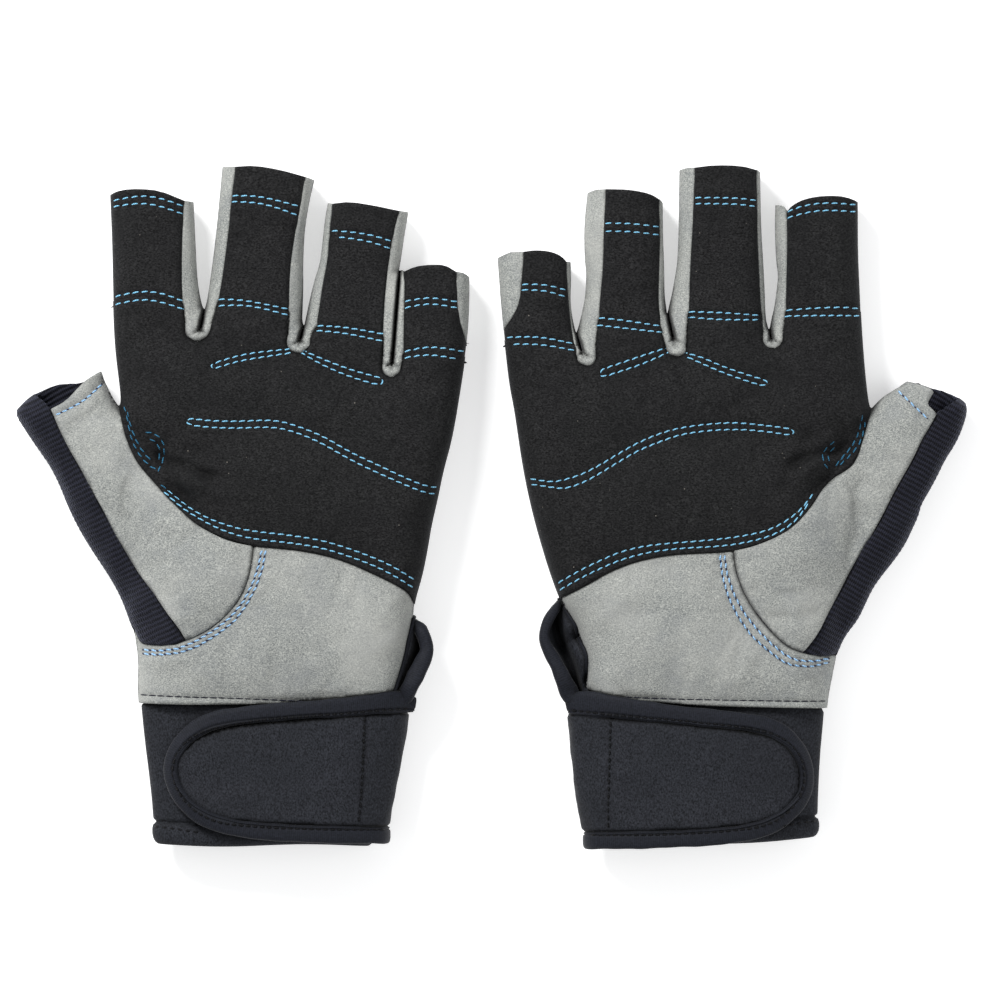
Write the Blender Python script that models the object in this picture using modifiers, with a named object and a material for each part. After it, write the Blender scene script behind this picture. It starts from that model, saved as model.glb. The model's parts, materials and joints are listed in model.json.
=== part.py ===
"""A pair of short-finger sailing gloves, lying on their backs with the palms up.

Millimetres below, turned into metres when meshes are made. +X runs from the left-hand glove to the
right-hand glove, +Y from the wrists to the fingertips, +Z leaves the palms. The origin lies on the
resting plane, midway between the gloves. "Front" is the palm side of a finger; left and right are
the -X and +X sides. Section angles are in degrees: 0 is the right side, 90 the top.
"""

import math
from types import SimpleNamespace

import bmesh
import bpy
import numpy as np
from mathutils import Vector

MM = 0.001

# ---------------------------------------------------------------- driving dimensions
FABRIC = 1.2  # synthetic suede and stretch fabric walls
NEOPRENE = 2.2  # cuff band wall
STRAP_THICK = 2.4
PATCH = 0.9  # hook and loop patches
GAP = 0.3  # clearance kept between neighbouring pieces
ROUNDNESS = 2.6  # superellipse exponent of every cross-section
MAX_SHARE = 0.999  # sideways shares of a section are held just inside its silhouette
STALL_HEIGHT = 16.0  # finger stall, back to front
THUMB_HEIGHT = 19.0
THUMB_LIFT = 0.5  # underside of the thumb stall above the resting plane
CUFF_HEIGHT = 19.0
BACK_DROP = 0.9  # how far each back would hang below the resting plane before it is flattened

# outer faces of the closure's layers above the cuff band
LOOP_OFF = GAP + PATCH
HOOK_OFF = LOOP_OFF + GAP + PATCH
STRAP_OFF = 5.2

BINDING_R = 1.6
BINDING_CLEARANCE = 0.6  # between the strap's cut edge and its cord
VENT_BINDING_R = 1.7

# name: red, green, blue, roughness
COLOURS = {
    "palm_suede_black": (0.012, 0.012, 0.013, 0.9),
    "suede_grey": (0.26, 0.27, 0.26, 0.95),
    "stretch_black": (0.010, 0.011, 0.016, 0.85),
    "neoprene_black": (0.016, 0.017, 0.020, 0.8),
    "binding_black": (0.010, 0.011, 0.014, 0.75),
    "hook_black": (0.02, 0.02, 0.02, 0.5),
    "loop_black": (0.015, 0.015, 0.016, 1.0),
}

# ---------------------------------------------------------------- start from an empty scene
for old in list(bpy.data.objects):
    bpy.data.objects.remove(old, do_unlink=True)

parts = bpy.data.collections.new("sailing_gloves")
cutters = bpy.data.collections.new("cutters")
bpy.context.scene.collection.children.link(parts)
bpy.context.scene.collection.children.link(cutters)


def make_material(name, red, green, blue, roughness):
    material = bpy.data.materials.new(name)
    material.use_nodes = True
    shader = material.node_tree.nodes["Principled BSDF"]
    shader.inputs["Base Color"].default_value = (red, green, blue, 1.0)
    shader.inputs["Roughness"].default_value = roughness
    shader.inputs["Metallic"].default_value = 0.0
    return material


materials = {name: make_material(name, *values) for name, values in COLOURS.items()}


# ---------------------------------------------------------------- lines and cross-sections
def table(rows, y, column):
    """A column of a station table at y, straight between stations and constant past the ends."""
    ys = np.array([row[0] for row in rows][::-1], float)
    values = np.array([row[column] for row in rows][::-1], float)
    return float(np.interp(y, ys, values))


def width_at(rows, y):
    """Centre x and half width at y, from a station table's silhouette columns."""
    left, right = table(rows, y, 1), table(rows, y, 2)
    return (left + right) / 2, (right - left) / 2


def along(points, share):
    """The point at a share of a polyline's length."""
    path = np.array(points, float)
    lengths = np.r_[0.0, np.cumsum(np.linalg.norm(np.diff(path, axis=0), axis=1))]
    at = share * lengths[-1]
    return np.array([np.interp(at, lengths, path[:, k]) for k in range(path.shape[1])])


def offset(points, distance):
    """A polyline moved sideways by distance, to the left of its direction."""
    path = np.array(points, float)
    heading = np.gradient(path, axis=0)
    heading /= np.linalg.norm(heading, axis=1)[:, None]
    return [tuple(q) for q in path + distance * np.c_[-heading[:, 1], heading[:, 0]]]


def power(value, exponent):
    return math.copysign(abs(value) ** exponent, value)


def section_point(centre, half, height, angle, off=0.0, lift=0.0, drop=BACK_DROP):
    """Sideways place and height of a cross-section, moved out by off and kept above z = 0."""
    cosine, sine = math.cos(math.radians(angle)), math.sin(math.radians(angle))
    across = centre + (half + off) * power(cosine, 2 / ROUNDNESS)
    rise = height / 2
    middle = rise + lift
    if sine >= 0:
        return across, middle + (rise + off) * power(sine, 2 / ROUNDNESS)
    return across, max(0.0, middle + (rise + drop + off) * power(sine, 2 / ROUNDNESS))


def angle_of(share):
    """The angle, on the section's upper half, of a sideways share from -1 to 1."""
    share = max(-MAX_SHARE, min(MAX_SHARE, share))
    return math.degrees(math.acos(power(share, ROUNDNESS / 2)))


# ---------------------------------------------------------------- objects
def add(name, mesh, material, parent=None, where=parts):
    obj = bpy.data.objects.new(name, mesh)
    where.objects.link(obj)
    mesh.materials.clear()
    if material:
        mesh.materials.append(materials[material])
        mesh.shade_smooth()
        mesh.set_sharp_from_angle(angle=math.radians(50))
    if parent is not None:
        obj.parent = parent
        obj.matrix_parent_inverse = parent.matrix_world.inverted()
    return obj


def thicken(obj, thickness, side):
    """side -1 grows the wall against the normals, 0 to both sides."""
    solid = obj.modifiers.new("thickness", "SOLIDIFY")
    solid.thickness = thickness * MM
    solid.offset = side


def sheet(name, segments, place, thickness, material, hint, parent=None, close=False):
    """A grid placed by place(u, v), facing away from hint(point) and thickened inwards."""
    bm = bmesh.new()
    bmesh.ops.create_grid(bm, x_segments=segments[0], y_segments=segments[1], size=0.5)
    for vert in bm.verts:
        vert.co = Vector(place(vert.co.x + 0.5, vert.co.y + 0.5)) * MM
    if close:
        bmesh.ops.remove_doubles(bm, verts=bm.verts, dist=1e-6)
    bm.normal_update()
    facing = 0.0
    for face in bm.faces:
        middle = face.calc_center_median()
        outward = middle - Vector(hint(middle / MM)) * MM
        facing += face.normal.dot(outward) * face.calc_area()
    if facing < 0:
        bmesh.ops.reverse_faces(bm, faces=bm.faces)
    mesh = bpy.data.meshes.new(name)
    bm.to_mesh(mesh)
    bm.free()
    obj = add(name, mesh, material, parent)
    thicken(obj, thickness, -1.0)
    return obj


def poly_curve(name, points, dimensions):
    curve = bpy.data.curves.new(name, "CURVE")
    curve.dimensions = dimensions
    spline = curve.splines.new("POLY")
    spline.points.add(len(points) - 1)
    for spline_point, (x, y, z) in zip(spline.points, points):
        spline_point.co = (x * MM, y * MM, z * MM, 1.0)
    return curve


def mesh_from_curve(name, curve, material=None, parent=None, where=parts):
    """A curve's evaluated shape as a mesh object, its caps welded."""
    guide = bpy.data.objects.new(name + "_guide", curve)
    cutters.objects.link(guide)
    bpy.context.view_layer.update()
    graph = bpy.context.evaluated_depsgraph_get()
    mesh = bpy.data.meshes.new_from_object(guide.evaluated_get(graph))
    bm = bmesh.new()
    bm.from_mesh(mesh)
    bmesh.ops.remove_doubles(bm, verts=bm.verts, dist=1e-6)
    bmesh.ops.recalc_face_normals(bm, faces=bm.faces)
    bm.to_mesh(mesh)
    bm.free()
    bpy.data.objects.remove(guide, do_unlink=True)
    mesh.name = name
    return add(name, mesh, material, parent, where)


def keep_inside(obj, outline):
    """Trim obj to an outline seen from above, with an extruded cutter."""
    low, high = -10, 40
    name = obj.name + "_cutter"
    curve = poly_curve(name, [(x, y, 0.0) for x, y in outline], "2D")
    curve.fill_mode = "BOTH"
    curve.extrude = (high - low) / 2 * MM
    curve.splines[0].use_cyclic_u = True
    cutter = mesh_from_curve(name, curve, where=cutters)
    cutter.location.z = (high + low) / 2 * MM
    cutter.hide_render = True
    cutter.display_type = "WIRE"
    trim = obj.modifiers.new("trim", "BOOLEAN")
    trim.operation = "INTERSECT"
    trim.solver = "EXACT"
    trim.object = cutter


def tube(name, points, radius, material, parent=None):
    """A rounded cord along points."""
    curve = poly_curve(name, points, "3D")
    curve.bevel_depth = radius * MM
    curve.bevel_resolution = 1
    curve.use_fill_caps = True
    return mesh_from_curve(name, curve, material, parent)


def joint_empty(name, position):
    empty = bpy.data.objects.new(name, None)
    empty.empty_display_size = 0.01
    empty.location = Vector(position) * MM
    parts.objects.link(empty)
    bpy.context.view_layer.update()
    return empty


class Stall:
    """The frame of a finger or thumb stall, from its hinge to its tip.

    half: half widths at hinge and tip. front: the front panel's (left, right) edges at hinge and
    at tip, measured sideways from the centre line.
    """

    def __init__(self, hinge, tip, half, front=None,
                 height=STALL_HEIGHT, lift=0.0, drop=BACK_DROP):
        self.hinge = Vector(hinge)
        run = Vector(tip) - self.hinge
        self.length = run.length
        self.direction = run.normalized()
        self.sideways = Vector((self.direction.y, -self.direction.x))
        self.base = self.hinge - self.direction * GAP  # where the hand's panels stop
        self.half = half
        self.front = front
        self.height, self.lift, self.drop = height, lift, drop

    def half_at(self, v):
        return self.half[0] + (self.half[1] - self.half[0]) * v

    def point(self, distance, angle, v):
        across, z = section_point(0.0, self.half_at(v), self.height, angle,
                                  lift=self.lift, drop=self.drop)
        place = self.hinge + self.direction * distance + self.sideways * across
        return place.x, place.y, z

    def axis_point(self, p):
        distance = (Vector((p.x, p.y)) - self.hinge).dot(self.direction)
        centre = self.hinge + self.direction * distance
        return centre.x, centre.y, self.height / 2

    def joint(self, name):
        return joint_empty(name, (self.hinge.x, self.hinge.y, self.height + self.lift))


def thumb_stall(hinge, tip, half):
    return Stall(hinge, tip, half, height=THUMB_HEIGHT, lift=THUMB_LIFT, drop=0.0)


# ---------------------------------------------------------------- the two gloves' outlines
# thumb_side     -1 where the thumb lies towards -X, 1 where it lies towards +X
# trunk          y, left silhouette x, right silhouette x, height above the resting plane
# cuff           y, left silhouette x, right silhouette x
# fingers        the four stalls, from left to right
# notches        x, y of the hand's edge between two fingers' hinge lines, left to right
# crotches       x, y of the wall between two fingers, left to right
# seam           x, y of the palm overlay's lower edge, thumb web to little-finger side
# thenar         x, y of the thumb set-in seam, overlay's edge to thumb side of the wrist
# heel_*         x, y of the heel panel's thumb-side, wrist and vent edges
# rib_edge       x, y where the thenar panel meets the thumb gusset, from the thumb down
# thumb_out      x, y of the thumb gusset's outer silhouette, from the thumb down
# thumb_edge     sideways share of the seam between thumb front and thumb back
# strap_top/low  x, y of the strap's upper and lower edges, from its hinge; strap_end joins them
# vent           x, y, z along the bound edge of the wrist vent
LEFT = SimpleNamespace(
    side="left",
    thumb_side=-1,
    trunk=[
        (67.6, -113.3, -6.5, 16.0), (48.1, -112.4, -7.1, 16.8), (37.6, -110.9, -8.6, 18.4),
        (25.6, -109.4, -10.4, 20.4), (10.6, -108.2, -14, 22.2), (-4.4, -107.3, -17.3, 23.4),
        (-17.9, -106.7, -19.7, 24.0), (-28.4, -106.4, -21.5, 24.0), (-40.4, -106.1, -20.9, 23.6),
        (-49.4, -106.1, -22.7, 23.2), (-59.3, -105.5, -24.5, 22.6),
    ],
    cuff=[(-60.2, -104, -27.5), (-73.4, -102.8, -29.6), (-88.4, -101.3, -33.2),
          (-101.9, -99.8, -35.6)],
    fingers={
        "index": Stall((-99.9, 62.5), (-101.4, 90.7), (12.9, 12.4), ((-14.1, 8.1), (-13.8, 9.3))),
        "middle": Stall((-70.7, 60.7), (-66.5, 99.4), (14.1, 13.8), ((-10.5, 10.5), (-9.6, 11.4))),
        "ring": Stall((-42.5, 53.2), (-36.9, 88.9), (13.2, 12), ((-9, 10.5), (-10.2, 9.3))),
        "little": Stall((-17.6, 47.8), (-16.5, 69.1), (10.5, 10.2), ((-8.1, 9), (-8.7, 6.6))),
    },
    notches=[
        [(-91.4, 55.6), (-89.9, 51.7), (-87.5, 49.6), (-85.1, 50.5), (-83, 54.1)],
        [(-60.8, 54.1), (-60.5, 49), (-59, 46.6), (-56.9, 46), (-54.5, 47.2), (-53, 49.6)],
        [(-32.3, 48.1), (-32.3, 43), (-30.8, 39.7), (-29.3, 38.8), (-27.5, 40.3), (-26, 44.5)],
    ],
    crotches=[
        [(-89.6, 60.7), (-89, 55.6), (-87.5, 52.3), (-85.7, 52.6), (-84.5, 55.6), (-83.6, 58.9)],
        [(-58.4, 57.4), (-58.4, 51.4), (-57.2, 49), (-55.7, 49.6), (-54.5, 52.3)],
        [(-30.3, 49.3), (-30.5, 44.2), (-29.6, 41.5), (-28.2, 42.7), (-27.3, 45.7)],
    ],
    seam=[
        (-109.7, 32.2), (-108.8, 23.2), (-107, 16), (-103.4, 10.6), (-98.9, 5.2),
        (-93.5, -0.5), (-87.5, -5.9), (-80.3, -9.8), (-70.7, -12.2), (-62.9, -13.1),
        (-50.9, -14.6), (-41.9, -17.6), (-32.9, -21.5), (-26.3, -25.1), (-22.4, -29),
    ],
    thenar=[(-70.7, -12.2), (-71.6, -17.9), (-73.4, -23.9), (-75.8, -29), (-80.3, -33.8),
            (-85.4, -37.4), (-91.1, -40.4)],
    heel_side=[(-96.5, -41.9), (-101.9, -41.9), (-105.5, -40.4)],
    heel_bottom=[(-107.9, -59.3), (-80.9, -59.3), (-56.9, -58.4), (-41.9, -57.2), (-29, -55.4)],
    heel_vent=[(-28.1, -53), (-26, -46.4), (-24.2, -38.9), (-23, -31.4), (-22.4, -29)],
    rib_edge=[(-120.5, 3.1), (-114.5, -5), (-109.1, -13.4), (-102.8, -22.4), (-96.5, -31.4),
              (-91.1, -40.4)],
    thumb_out=[(-126.5, -1.1), (-122.6, -8.9), (-117.5, -16.7), (-112.1, -24.5),
               (-108.8, -32.3), (-105.5, -39.8)],
    thumb=thumb_stall((-116.4, 6.1), (-128.9, 32.8), (12.4, 13.9)),
    thumb_edge=-0.4,
    strap_top=[(-27.8, -63.2), (-38.9, -63.2), (-56.9, -64.1), (-70.4, -65), (-79.4, -65.9),
               (-85.4, -68), (-89.9, -71), (-92.9, -75.5)],
    strap_end=(-93.8, -80),
    strap_low=[(-32.6, -95.6), (-38.9, -95.6), (-53.9, -95.3), (-68.9, -94.7), (-79.4, -93.8),
               (-86.3, -92), (-90.5, -89), (-92.9, -85.4)],
    vent=[(-20.9, -32.6, 13.0), (-18.8, -36.5, 13.5), (-17.6, -42.2, 14.0),
          (-18.8, -47.6, 15.0), (-21.2, -53.3, 16.0), (-23.9, -57.2, 17.0)],
)

RIGHT = SimpleNamespace(
    side="right",
    thumb_side=1,
    trunk=[
        (67.6, 3.1, 111.1, 16.0), (48.1, 4.9, 112, 16.8), (37.6, 6.4, 112.9, 18.4),
        (25.6, 8.5, 112.9, 20.4), (10.6, 10.9, 111.1, 22.2), (-4.4, 14.2, 109, 23.4),
        (-17.9, 17.8, 107.2, 24.0), (-28.4, 19.9, 105.7, 24.0), (-40.4, 19.9, 104.5, 23.6),
        (-49.4, 21.7, 103.3, 23.2), (-60.2, 24.1, 101.8, 22.6),
    ],
    cuff=[(-61.1, 27.1, 100), (-73.4, 28.3, 99.1), (-88.4, 30.7, 98.5), (-101.9, 33.1, 97.6)],
    fingers={
        "little": Stall((15.1, 50.8), (13.5, 73.3), (10.2, 10.5), ((-8.1, 9), (-3.6, 9.3))),
        "ring": Stall((40.3, 55.3), (40.8, 93.1), (12.4, 11.1), ((-7.2, 10.5), (-5.7, 10.5))),
        "middle": Stall((68.4, 58.3), (69, 100), (13.5, 12), ((-8.4, 11.4), (-7.5, 11.1))),
        "index": Stall((98.4, 59.2), (98.2, 88.6), (12.3, 12), ((-9.6, 13.8), (-9.3, 13.5))),
    },
    notches=[
        [(25, 48.1), (26.2, 44.8), (28, 42.7), (29.8, 42.4), (31.6, 43.9), (32.2, 48.1)],
        [(51.4, 52), (52.6, 47.8), (54.1, 45.4), (55.9, 44.8), (58, 46), (59.2, 50.2)],
        [(80.2, 54.1), (81.1, 50.8), (82.6, 48.1), (84.4, 46.9), (86.2, 48.1), (87.7, 51.4)],
    ],
    crotches=[
        [(26.4, 49.6), (27.1, 46.6), (28.6, 44.5), (30.1, 45.7), (30.6, 51.4)],
        [(52.9, 53.2), (53.5, 49.3), (55.3, 46.9), (57.1, 48.4), (57.4, 53.8)],
        [(81.6, 55.6), (82.3, 52), (84.1, 49.3), (85.9, 51.7), (86.8, 55.6)],
    ],
    seam=[
        (111.7, 30.1), (110.2, 24.1), (108.1, 18.1), (106, 13), (102.7, 7.9),
        (99.7, 2.2), (94.6, -3.2), (88.6, -8.6), (73, -13.7), (66.1, -14.3),
        (54.1, -14.6), (45.1, -16.1), (36.1, -19.1), (27.1, -23.9), (21.1, -27.8),
    ],
    thenar=[(73, -13.7), (74.2, -20.9), (76, -26.9), (78.7, -32.3), (82.6, -37.4),
            (87.1, -41.3), (93.7, -44)],
    heel_side=[(96.7, -44.6), (100.3, -44.6), (104.5, -43.4)],
    heel_bottom=[(106.6, -61.1), (81.1, -60.5), (57.1, -59.3), (40.6, -57.8), (29.2, -55.4)],
    heel_vent=[(29.2, -52.4), (29.5, -48.5), (27.7, -41.9), (25.6, -35.6), (22.9, -30.2),
               (21.1, -27.8)],
    rib_edge=[(121, 2.8), (114.7, -7.4), (110.2, -15.2), (105.4, -23.6), (99.7, -33.2),
              (93.7, -44)],
    thumb_out=[(129.4, -0.8), (124.9, -9.5), (120.1, -18.2), (114.1, -26.9), (109.6, -35.3),
               (104.5, -43.1)],
    thumb=thumb_stall((119.2, 7.3), (128.8, 32.8), (12.2, 13.8)),
    thumb_edge=0.3,
    strap_top=[(27.4, -63.2), (36.1, -63.5), (57.1, -65.6), (69.1, -66.5), (78.1, -68),
               (85.6, -70.4), (90.1, -74), (92.8, -78.2)],
    strap_end=(93.4, -81.8),
    strap_low=[(32.2, -97.4), (45.1, -97.4), (60.1, -97.1), (72.1, -96.2), (81.1, -94.4),
               (87.1, -92), (91, -88.4), (92.8, -85.4)],
    vent=[(18.7, -30.2, 13.0), (16.3, -34.4, 13.5), (15.7, -40.4, 14.0),
          (17.2, -46.4, 15.0), (19.6, -52.4, 16.0), (22.3, -57.5, 17.0)],
)

SEAM_JUNCTION = 8  # the point of seam where thenar branches off


# ---------------------------------------------------------------- trunk of the hand
HINGE_LINE_EXTRA = 8.0  # how far the hinge line runs on past the two outer fingers
CUTTER_MARGIN = 12.0


def trunk_strip(g, name, y_range, segments, span, material):
    """A strip of the trunk between the two section angles span(y)."""
    low, high = y_range

    def place(u, v):
        y = low + (high - low) * v
        start, stop = span(y)
        centre, half = width_at(g.trunk, y)
        x, z = section_point(centre, half, table(g.trunk, y, 3), start + (stop - start) * u)
        return x, y, z

    def hint(p):
        return width_at(g.trunk, p.y)[0], p.y, table(g.trunk, p.y, 3) / 2

    return sheet(g.side + "_" + name, segments, place, FABRIC, material, hint)


def trunk_top(g, x, y):
    """Height of the trunk's palm side."""
    centre, half = width_at(g.trunk, y)
    share = min(MAX_SHARE, abs((x - centre) / half))
    return table(g.trunk, y, 3) / 2 * (1 + (1 - share**ROUNDNESS) ** (1 / ROUNDNESS))


def for_side(g, thumb_angle, little_angle, mirror):
    """Start and stop angles given for the left glove; the right glove takes mirror - angle."""
    if g.thumb_side < 0:
        return thumb_angle, little_angle
    return mirror - little_angle, mirror - thumb_angle


def hand_outline(g):
    """The finger hinge line from thumb side to little side, and x just past those two sides."""
    line = []
    last = len(g.fingers) - 1
    for i, stall in enumerate(g.fingers.values()):
        left, right = stall.front[0]
        if i == 0:
            left = -stall.half[0] - HINGE_LINE_EXTRA
        if i == last:
            right = stall.half[0] + HINGE_LINE_EXTRA
        line += [tuple(stall.base + stall.sideways * side) for side in (left, right)]
        if i < last:
            line += g.notches[i]
    left_x = min(p[0] for p in line) - CUTTER_MARGIN
    right_x = max(p[0] for p in line) + CUTTER_MARGIN
    if g.thumb_side < 0:
        return line, left_x, right_x
    return line[::-1], right_x, left_x


def palm_overlay(g):
    """Black suede from the set-in seams up to the finger hinges."""
    hinge_line, thumb_x, little_x = hand_outline(g)
    seam_y = g.seam[-1][1]
    overlay = trunk_strip(g, "palm_overlay", (seam_y - 6, g.trunk[0][0]), (22, 10),
                          lambda y: (175.0, 5.0), "palm_suede_black")
    lower_edge = offset(g.seam, -g.thumb_side * GAP / 2)
    keep_inside(overlay, [
        *hinge_line, (little_x, seam_y + GAP / 2), *lower_edge[::-1],
        (thumb_x, g.seam[0][1] + 1.0),
    ])


def heel_panel(g):
    """Grey suede below the overlay, open along the wrist vent."""
    _, thumb_x, _ = hand_outline(g)
    low_y = g.heel_bottom[0][1]
    heel = trunk_strip(g, "heel_panel", (low_y - 3, g.seam[SEAM_JUNCTION][1] + 6), (16, 8),
                       lambda y: for_side(g, 184.0, 5.0, mirror=180.0), "suede_grey")
    upper_edge = offset(g.seam, g.thumb_side * GAP / 2)[SEAM_JUNCTION:]
    thumb_edge = offset(g.thenar, -g.thumb_side * GAP)
    keep_inside(heel, [
        (thumb_x, g.heel_side[-1][1]), *g.heel_side[::-1], *thumb_edge[::-1][:-1], *upper_edge,
        *g.heel_vent[::-1][1:], *g.heel_bottom[::-1][:-1], (thumb_x, low_y),
    ])


def back_panel(g):
    """Back of the hand, down to the resting plane and cut back beside the thumb set-in."""
    hinge_line, thumb_x, little_x = hand_outline(g)
    low_y = g.trunk[-1][0] + 1.2

    def span(y):
        beside_thumb = g.thumb_out[-1][1] - 2 < y < g.seam[0][1] + 2
        return for_side(g, 214.0 if beside_thumb else 189.0, 354.0, mirror=540.0)

    back = trunk_strip(g, "back_panel", (low_y, g.trunk[0][0]), (18, 12), span, "stretch_black")
    keep_inside(back, [*hinge_line, (little_x, low_y - 5), (thumb_x, low_y - 5)])


# ---------------------------------------------------------------- thumb set-in
THENAR_SEAM_START = 3  # first point of seam that the thenar panel follows
THENAR_TOP_Z = 18.0  # seam side of the thenar panel, at the thumb
THENAR_BULGE = 2.2
RIB_TOP_Z = 17.6  # edge shared by thenar panel and gusset, at the thumb
RIB_FALL = 0.8  # how far that edge sinks towards the wrist
GUSSET_MID_Z = 9.5  # height of the gusset's outer silhouette
GUSSET_LOW_Z = 1.4  # gusset's lower edge at the thumb
GUSSET_LOW_RISE = 6.6  # how far that edge climbs towards the wrist
GUSSET_TRUNK_CLEARANCE = 1.6
GUSSET_HALF_ARC = 86  # degrees above and below the outer silhouette


def thenar_panel(g):
    """Grey panel between the thumb set-in seam and the gusset."""
    seam_side = [*g.seam[THENAR_SEAM_START:SEAM_JUNCTION], *g.thenar[:-1]]
    seam_side = offset(seam_side, g.thumb_side * GAP)
    thumb = g.thumb
    thumb_corner = thumb.base - thumb.sideways * (thumb.half[0] - 1.0) * g.thumb_side
    seam_side[0] = tuple(thumb_corner)

    def place(u, v):
        u, v = 0.02 + 0.97 * u, 0.02 + 0.95 * v
        outer, inner = along(g.rib_edge, v), along(seam_side, v)
        x, y = outer + (inner - outer) * u
        outer_z = RIB_TOP_Z - RIB_FALL * v
        inner_z = trunk_top(g, *inner) if v > 0.08 else THENAR_TOP_Z
        bulge = THENAR_BULGE * math.sin(math.pi * u) * math.sin(math.pi * (0.25 + v * 0.75))
        return x, y, outer_z + (inner_z - outer_z) * u + bulge

    sheet(g.side + "_thenar_panel", (7, 10), place, FABRIC, "suede_grey",
          lambda p: (p.x, p.y, 5.0))


def thumb_gusset(g):
    """Black panel wrapping the set-in's outer side, from the thenar panel down to the back."""

    def place(u, v):
        v = 0.01 + 0.95 * v
        upper, outer = along(g.rib_edge, v), along(g.thumb_out, v)
        # the lower edge keeps clear of the trunk, and closes on the silhouette at the wrist
        low_y = outer[1] + (9.0 if v < 0.2 else 3.0) * (1 - v)
        silhouette = table(g.trunk, low_y, 1 if g.thumb_side < 0 else 2)
        clear_x = silhouette + g.thumb_side * GUSSET_TRUNK_CLEARANCE
        inward = max if g.thumb_side < 0 else min
        low_x = outer[0] + (inward(clear_x, outer[0]) - outer[0]) * (1 - v**3)
        lower = np.array([low_x, low_y])

        angle = math.radians(GUSSET_HALF_ARC * (1 - 2 * u))
        if angle >= 0:
            edge, depth = upper, RIB_TOP_Z - RIB_FALL * v - GUSSET_MID_Z
        else:
            edge, depth = lower, GUSSET_MID_Z - (GUSSET_LOW_Z + GUSSET_LOW_RISE * v**2)
        x, y = outer + (edge - outer) * (1 - math.cos(angle))
        return x, y, GUSSET_MID_Z + depth * math.sin(angle)

    sheet(g.side + "_thumb_gusset", (8, 7), place, FABRIC, "stretch_black",
          lambda p: (p.x - g.thumb_side * 20.0, p.y + 4.0, GUSSET_MID_Z))


# ---------------------------------------------------------------- fingers and thumb
CROTCH_HALF_HEIGHT = 5.4
CROTCH_MID_Z = 7.9
FINGER_TRIM = 2.6  # degrees left free at each long edge of a finger panel
THUMB_TRIM = 2.0
FRONT_CROWN = 2.0  # how far the middle of an end edge stands out
THUMB_CROWN = 2.5


def crotch_walls(g):
    """A U-shaped wall between each two fingers."""
    names = list(g.fingers)
    for i, path in enumerate(g.crotches):
        # named from the thumb side
        pair = names[i:i + 2][::-g.thumb_side]
        curve = poly_curve("crotch", [(x, y, 0.0) for x, y in path], "2D")
        curve.extrude = CROTCH_HALF_HEIGHT * MM
        wall = mesh_from_curve(g.side + "_crotch_" + "_".join(pair), curve, "suede_grey")
        wall.location.z = CROTCH_MID_Z * MM
        thicken(wall, FABRIC, 0.0)


def stall_strip(name, stall, across, span, trim, crown, material, parent):
    """A stall panel between the two section angles span(v), v running from hinge to tip."""

    def place(u, v):
        start, stop = span(v)
        angle = start + trim + (stop - start - 2 * trim) * u
        reach = stall.length + crown * math.sin(math.pi * u)
        return stall.point(GAP + (reach - GAP) * v, angle, v)

    sheet(name, (across, 3), place, FABRIC, material, stall.axis_point, parent)


def finger_edges(g, name, v):
    """Angles of the front's right and left edges, then of the back's right and left edges."""
    stall = g.fingers[name]
    (left_0, right_0), (left_1, right_1) = stall.front
    half = stall.half_at(v)
    right = angle_of((right_0 + (right_1 - right_0) * v) / half)
    left = angle_of((left_0 + (left_1 - left_0) * v) / half)
    back_right, back_left = -right, 360.0 - left
    # on the outer sides of the index and little fingers, front and back meet without a gusset
    if name == "index":
        if g.thumb_side < 0:
            left = back_left = 186.0
        else:
            right = back_right = -6.0
    elif name == "little":
        if g.thumb_side < 0:
            back_right = right
        else:
            back_left = left
    return right, left, back_right, back_left


def finger_stall(g, name):
    """Front, back and side gussets of one finger, on its own hinge."""
    stall = g.fingers[name]
    prefix = g.side + "_" + name
    empty = stall.joint(prefix + "_hinge")

    def front_span(v):
        right, left, _, _ = finger_edges(g, name, v)
        return right, left

    def back_span(v):
        _, _, right, left = finger_edges(g, name, v)
        return left, 360.0 + right

    def left_span(v):
        _, front, _, back = finger_edges(g, name, v)
        return front, back

    def right_span(v):
        front, _, back, _ = finger_edges(g, name, v)
        return back, front

    def strip(part, across, span, crown, material):
        stall_strip(prefix + part, stall, across, span, FINGER_TRIM, crown, material, empty)

    strip("_front", 8, front_span, FRONT_CROWN, "palm_suede_black")
    strip("_back", 11 if name == "little" else 8, back_span, 0.0, "stretch_black")

    names = list(g.fingers)
    i = names.index(name)
    for neighbour, span in ((i - 1, left_span), (i + 1, right_span)):
        if not 0 <= neighbour < len(names):
            continue
        label = "_gusset"
        if name not in ("index", "little"):
            label += "_" + names[neighbour] + "_side"
        strip(label, 5, span, 0.0, "suede_grey")


def thumb(g):
    """Front and back of the thumb stall, on its hinge."""
    prefix = g.side + "_thumb"
    empty = g.thumb.joint(prefix + "_hinge")
    seam = angle_of(g.thumb_edge)
    if g.thumb_side < 0:
        front, back = (-12.0, seam), (seam, 348.0)
    else:
        front, back = (seam, 192.0), (192.0, 360.0 + seam)
    stall_strip(prefix + "_front", g.thumb, 9, lambda v: front, THUMB_TRIM, 0.0,
                "suede_grey", empty)
    stall_strip(prefix + "_back", g.thumb, 10, lambda v: back, THUMB_TRIM, THUMB_CROWN,
                "stretch_black", empty)


# ---------------------------------------------------------------- cuff and closure
CUFF_TOP_GAP = 0.6
STRAP_SIDE_ANGLE = 8.0  # strap hinge above the cuff's little-finger side, degrees
STRAP_HINGE_SHARE = 0.12  # share of the strap over which its edge eases onto the hinge line
STRAP_REACH = 0.985  # share of the strap outline that the sheet fills
BINDING_STEPS = 30
VENT_STEPS = 12


def cuff_point(g, y, angle, off=0.0):
    centre, half = width_at(g.cuff, y)
    x, z = section_point(centre, half, CUFF_HEIGHT, angle, off)
    return x, y, z


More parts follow.
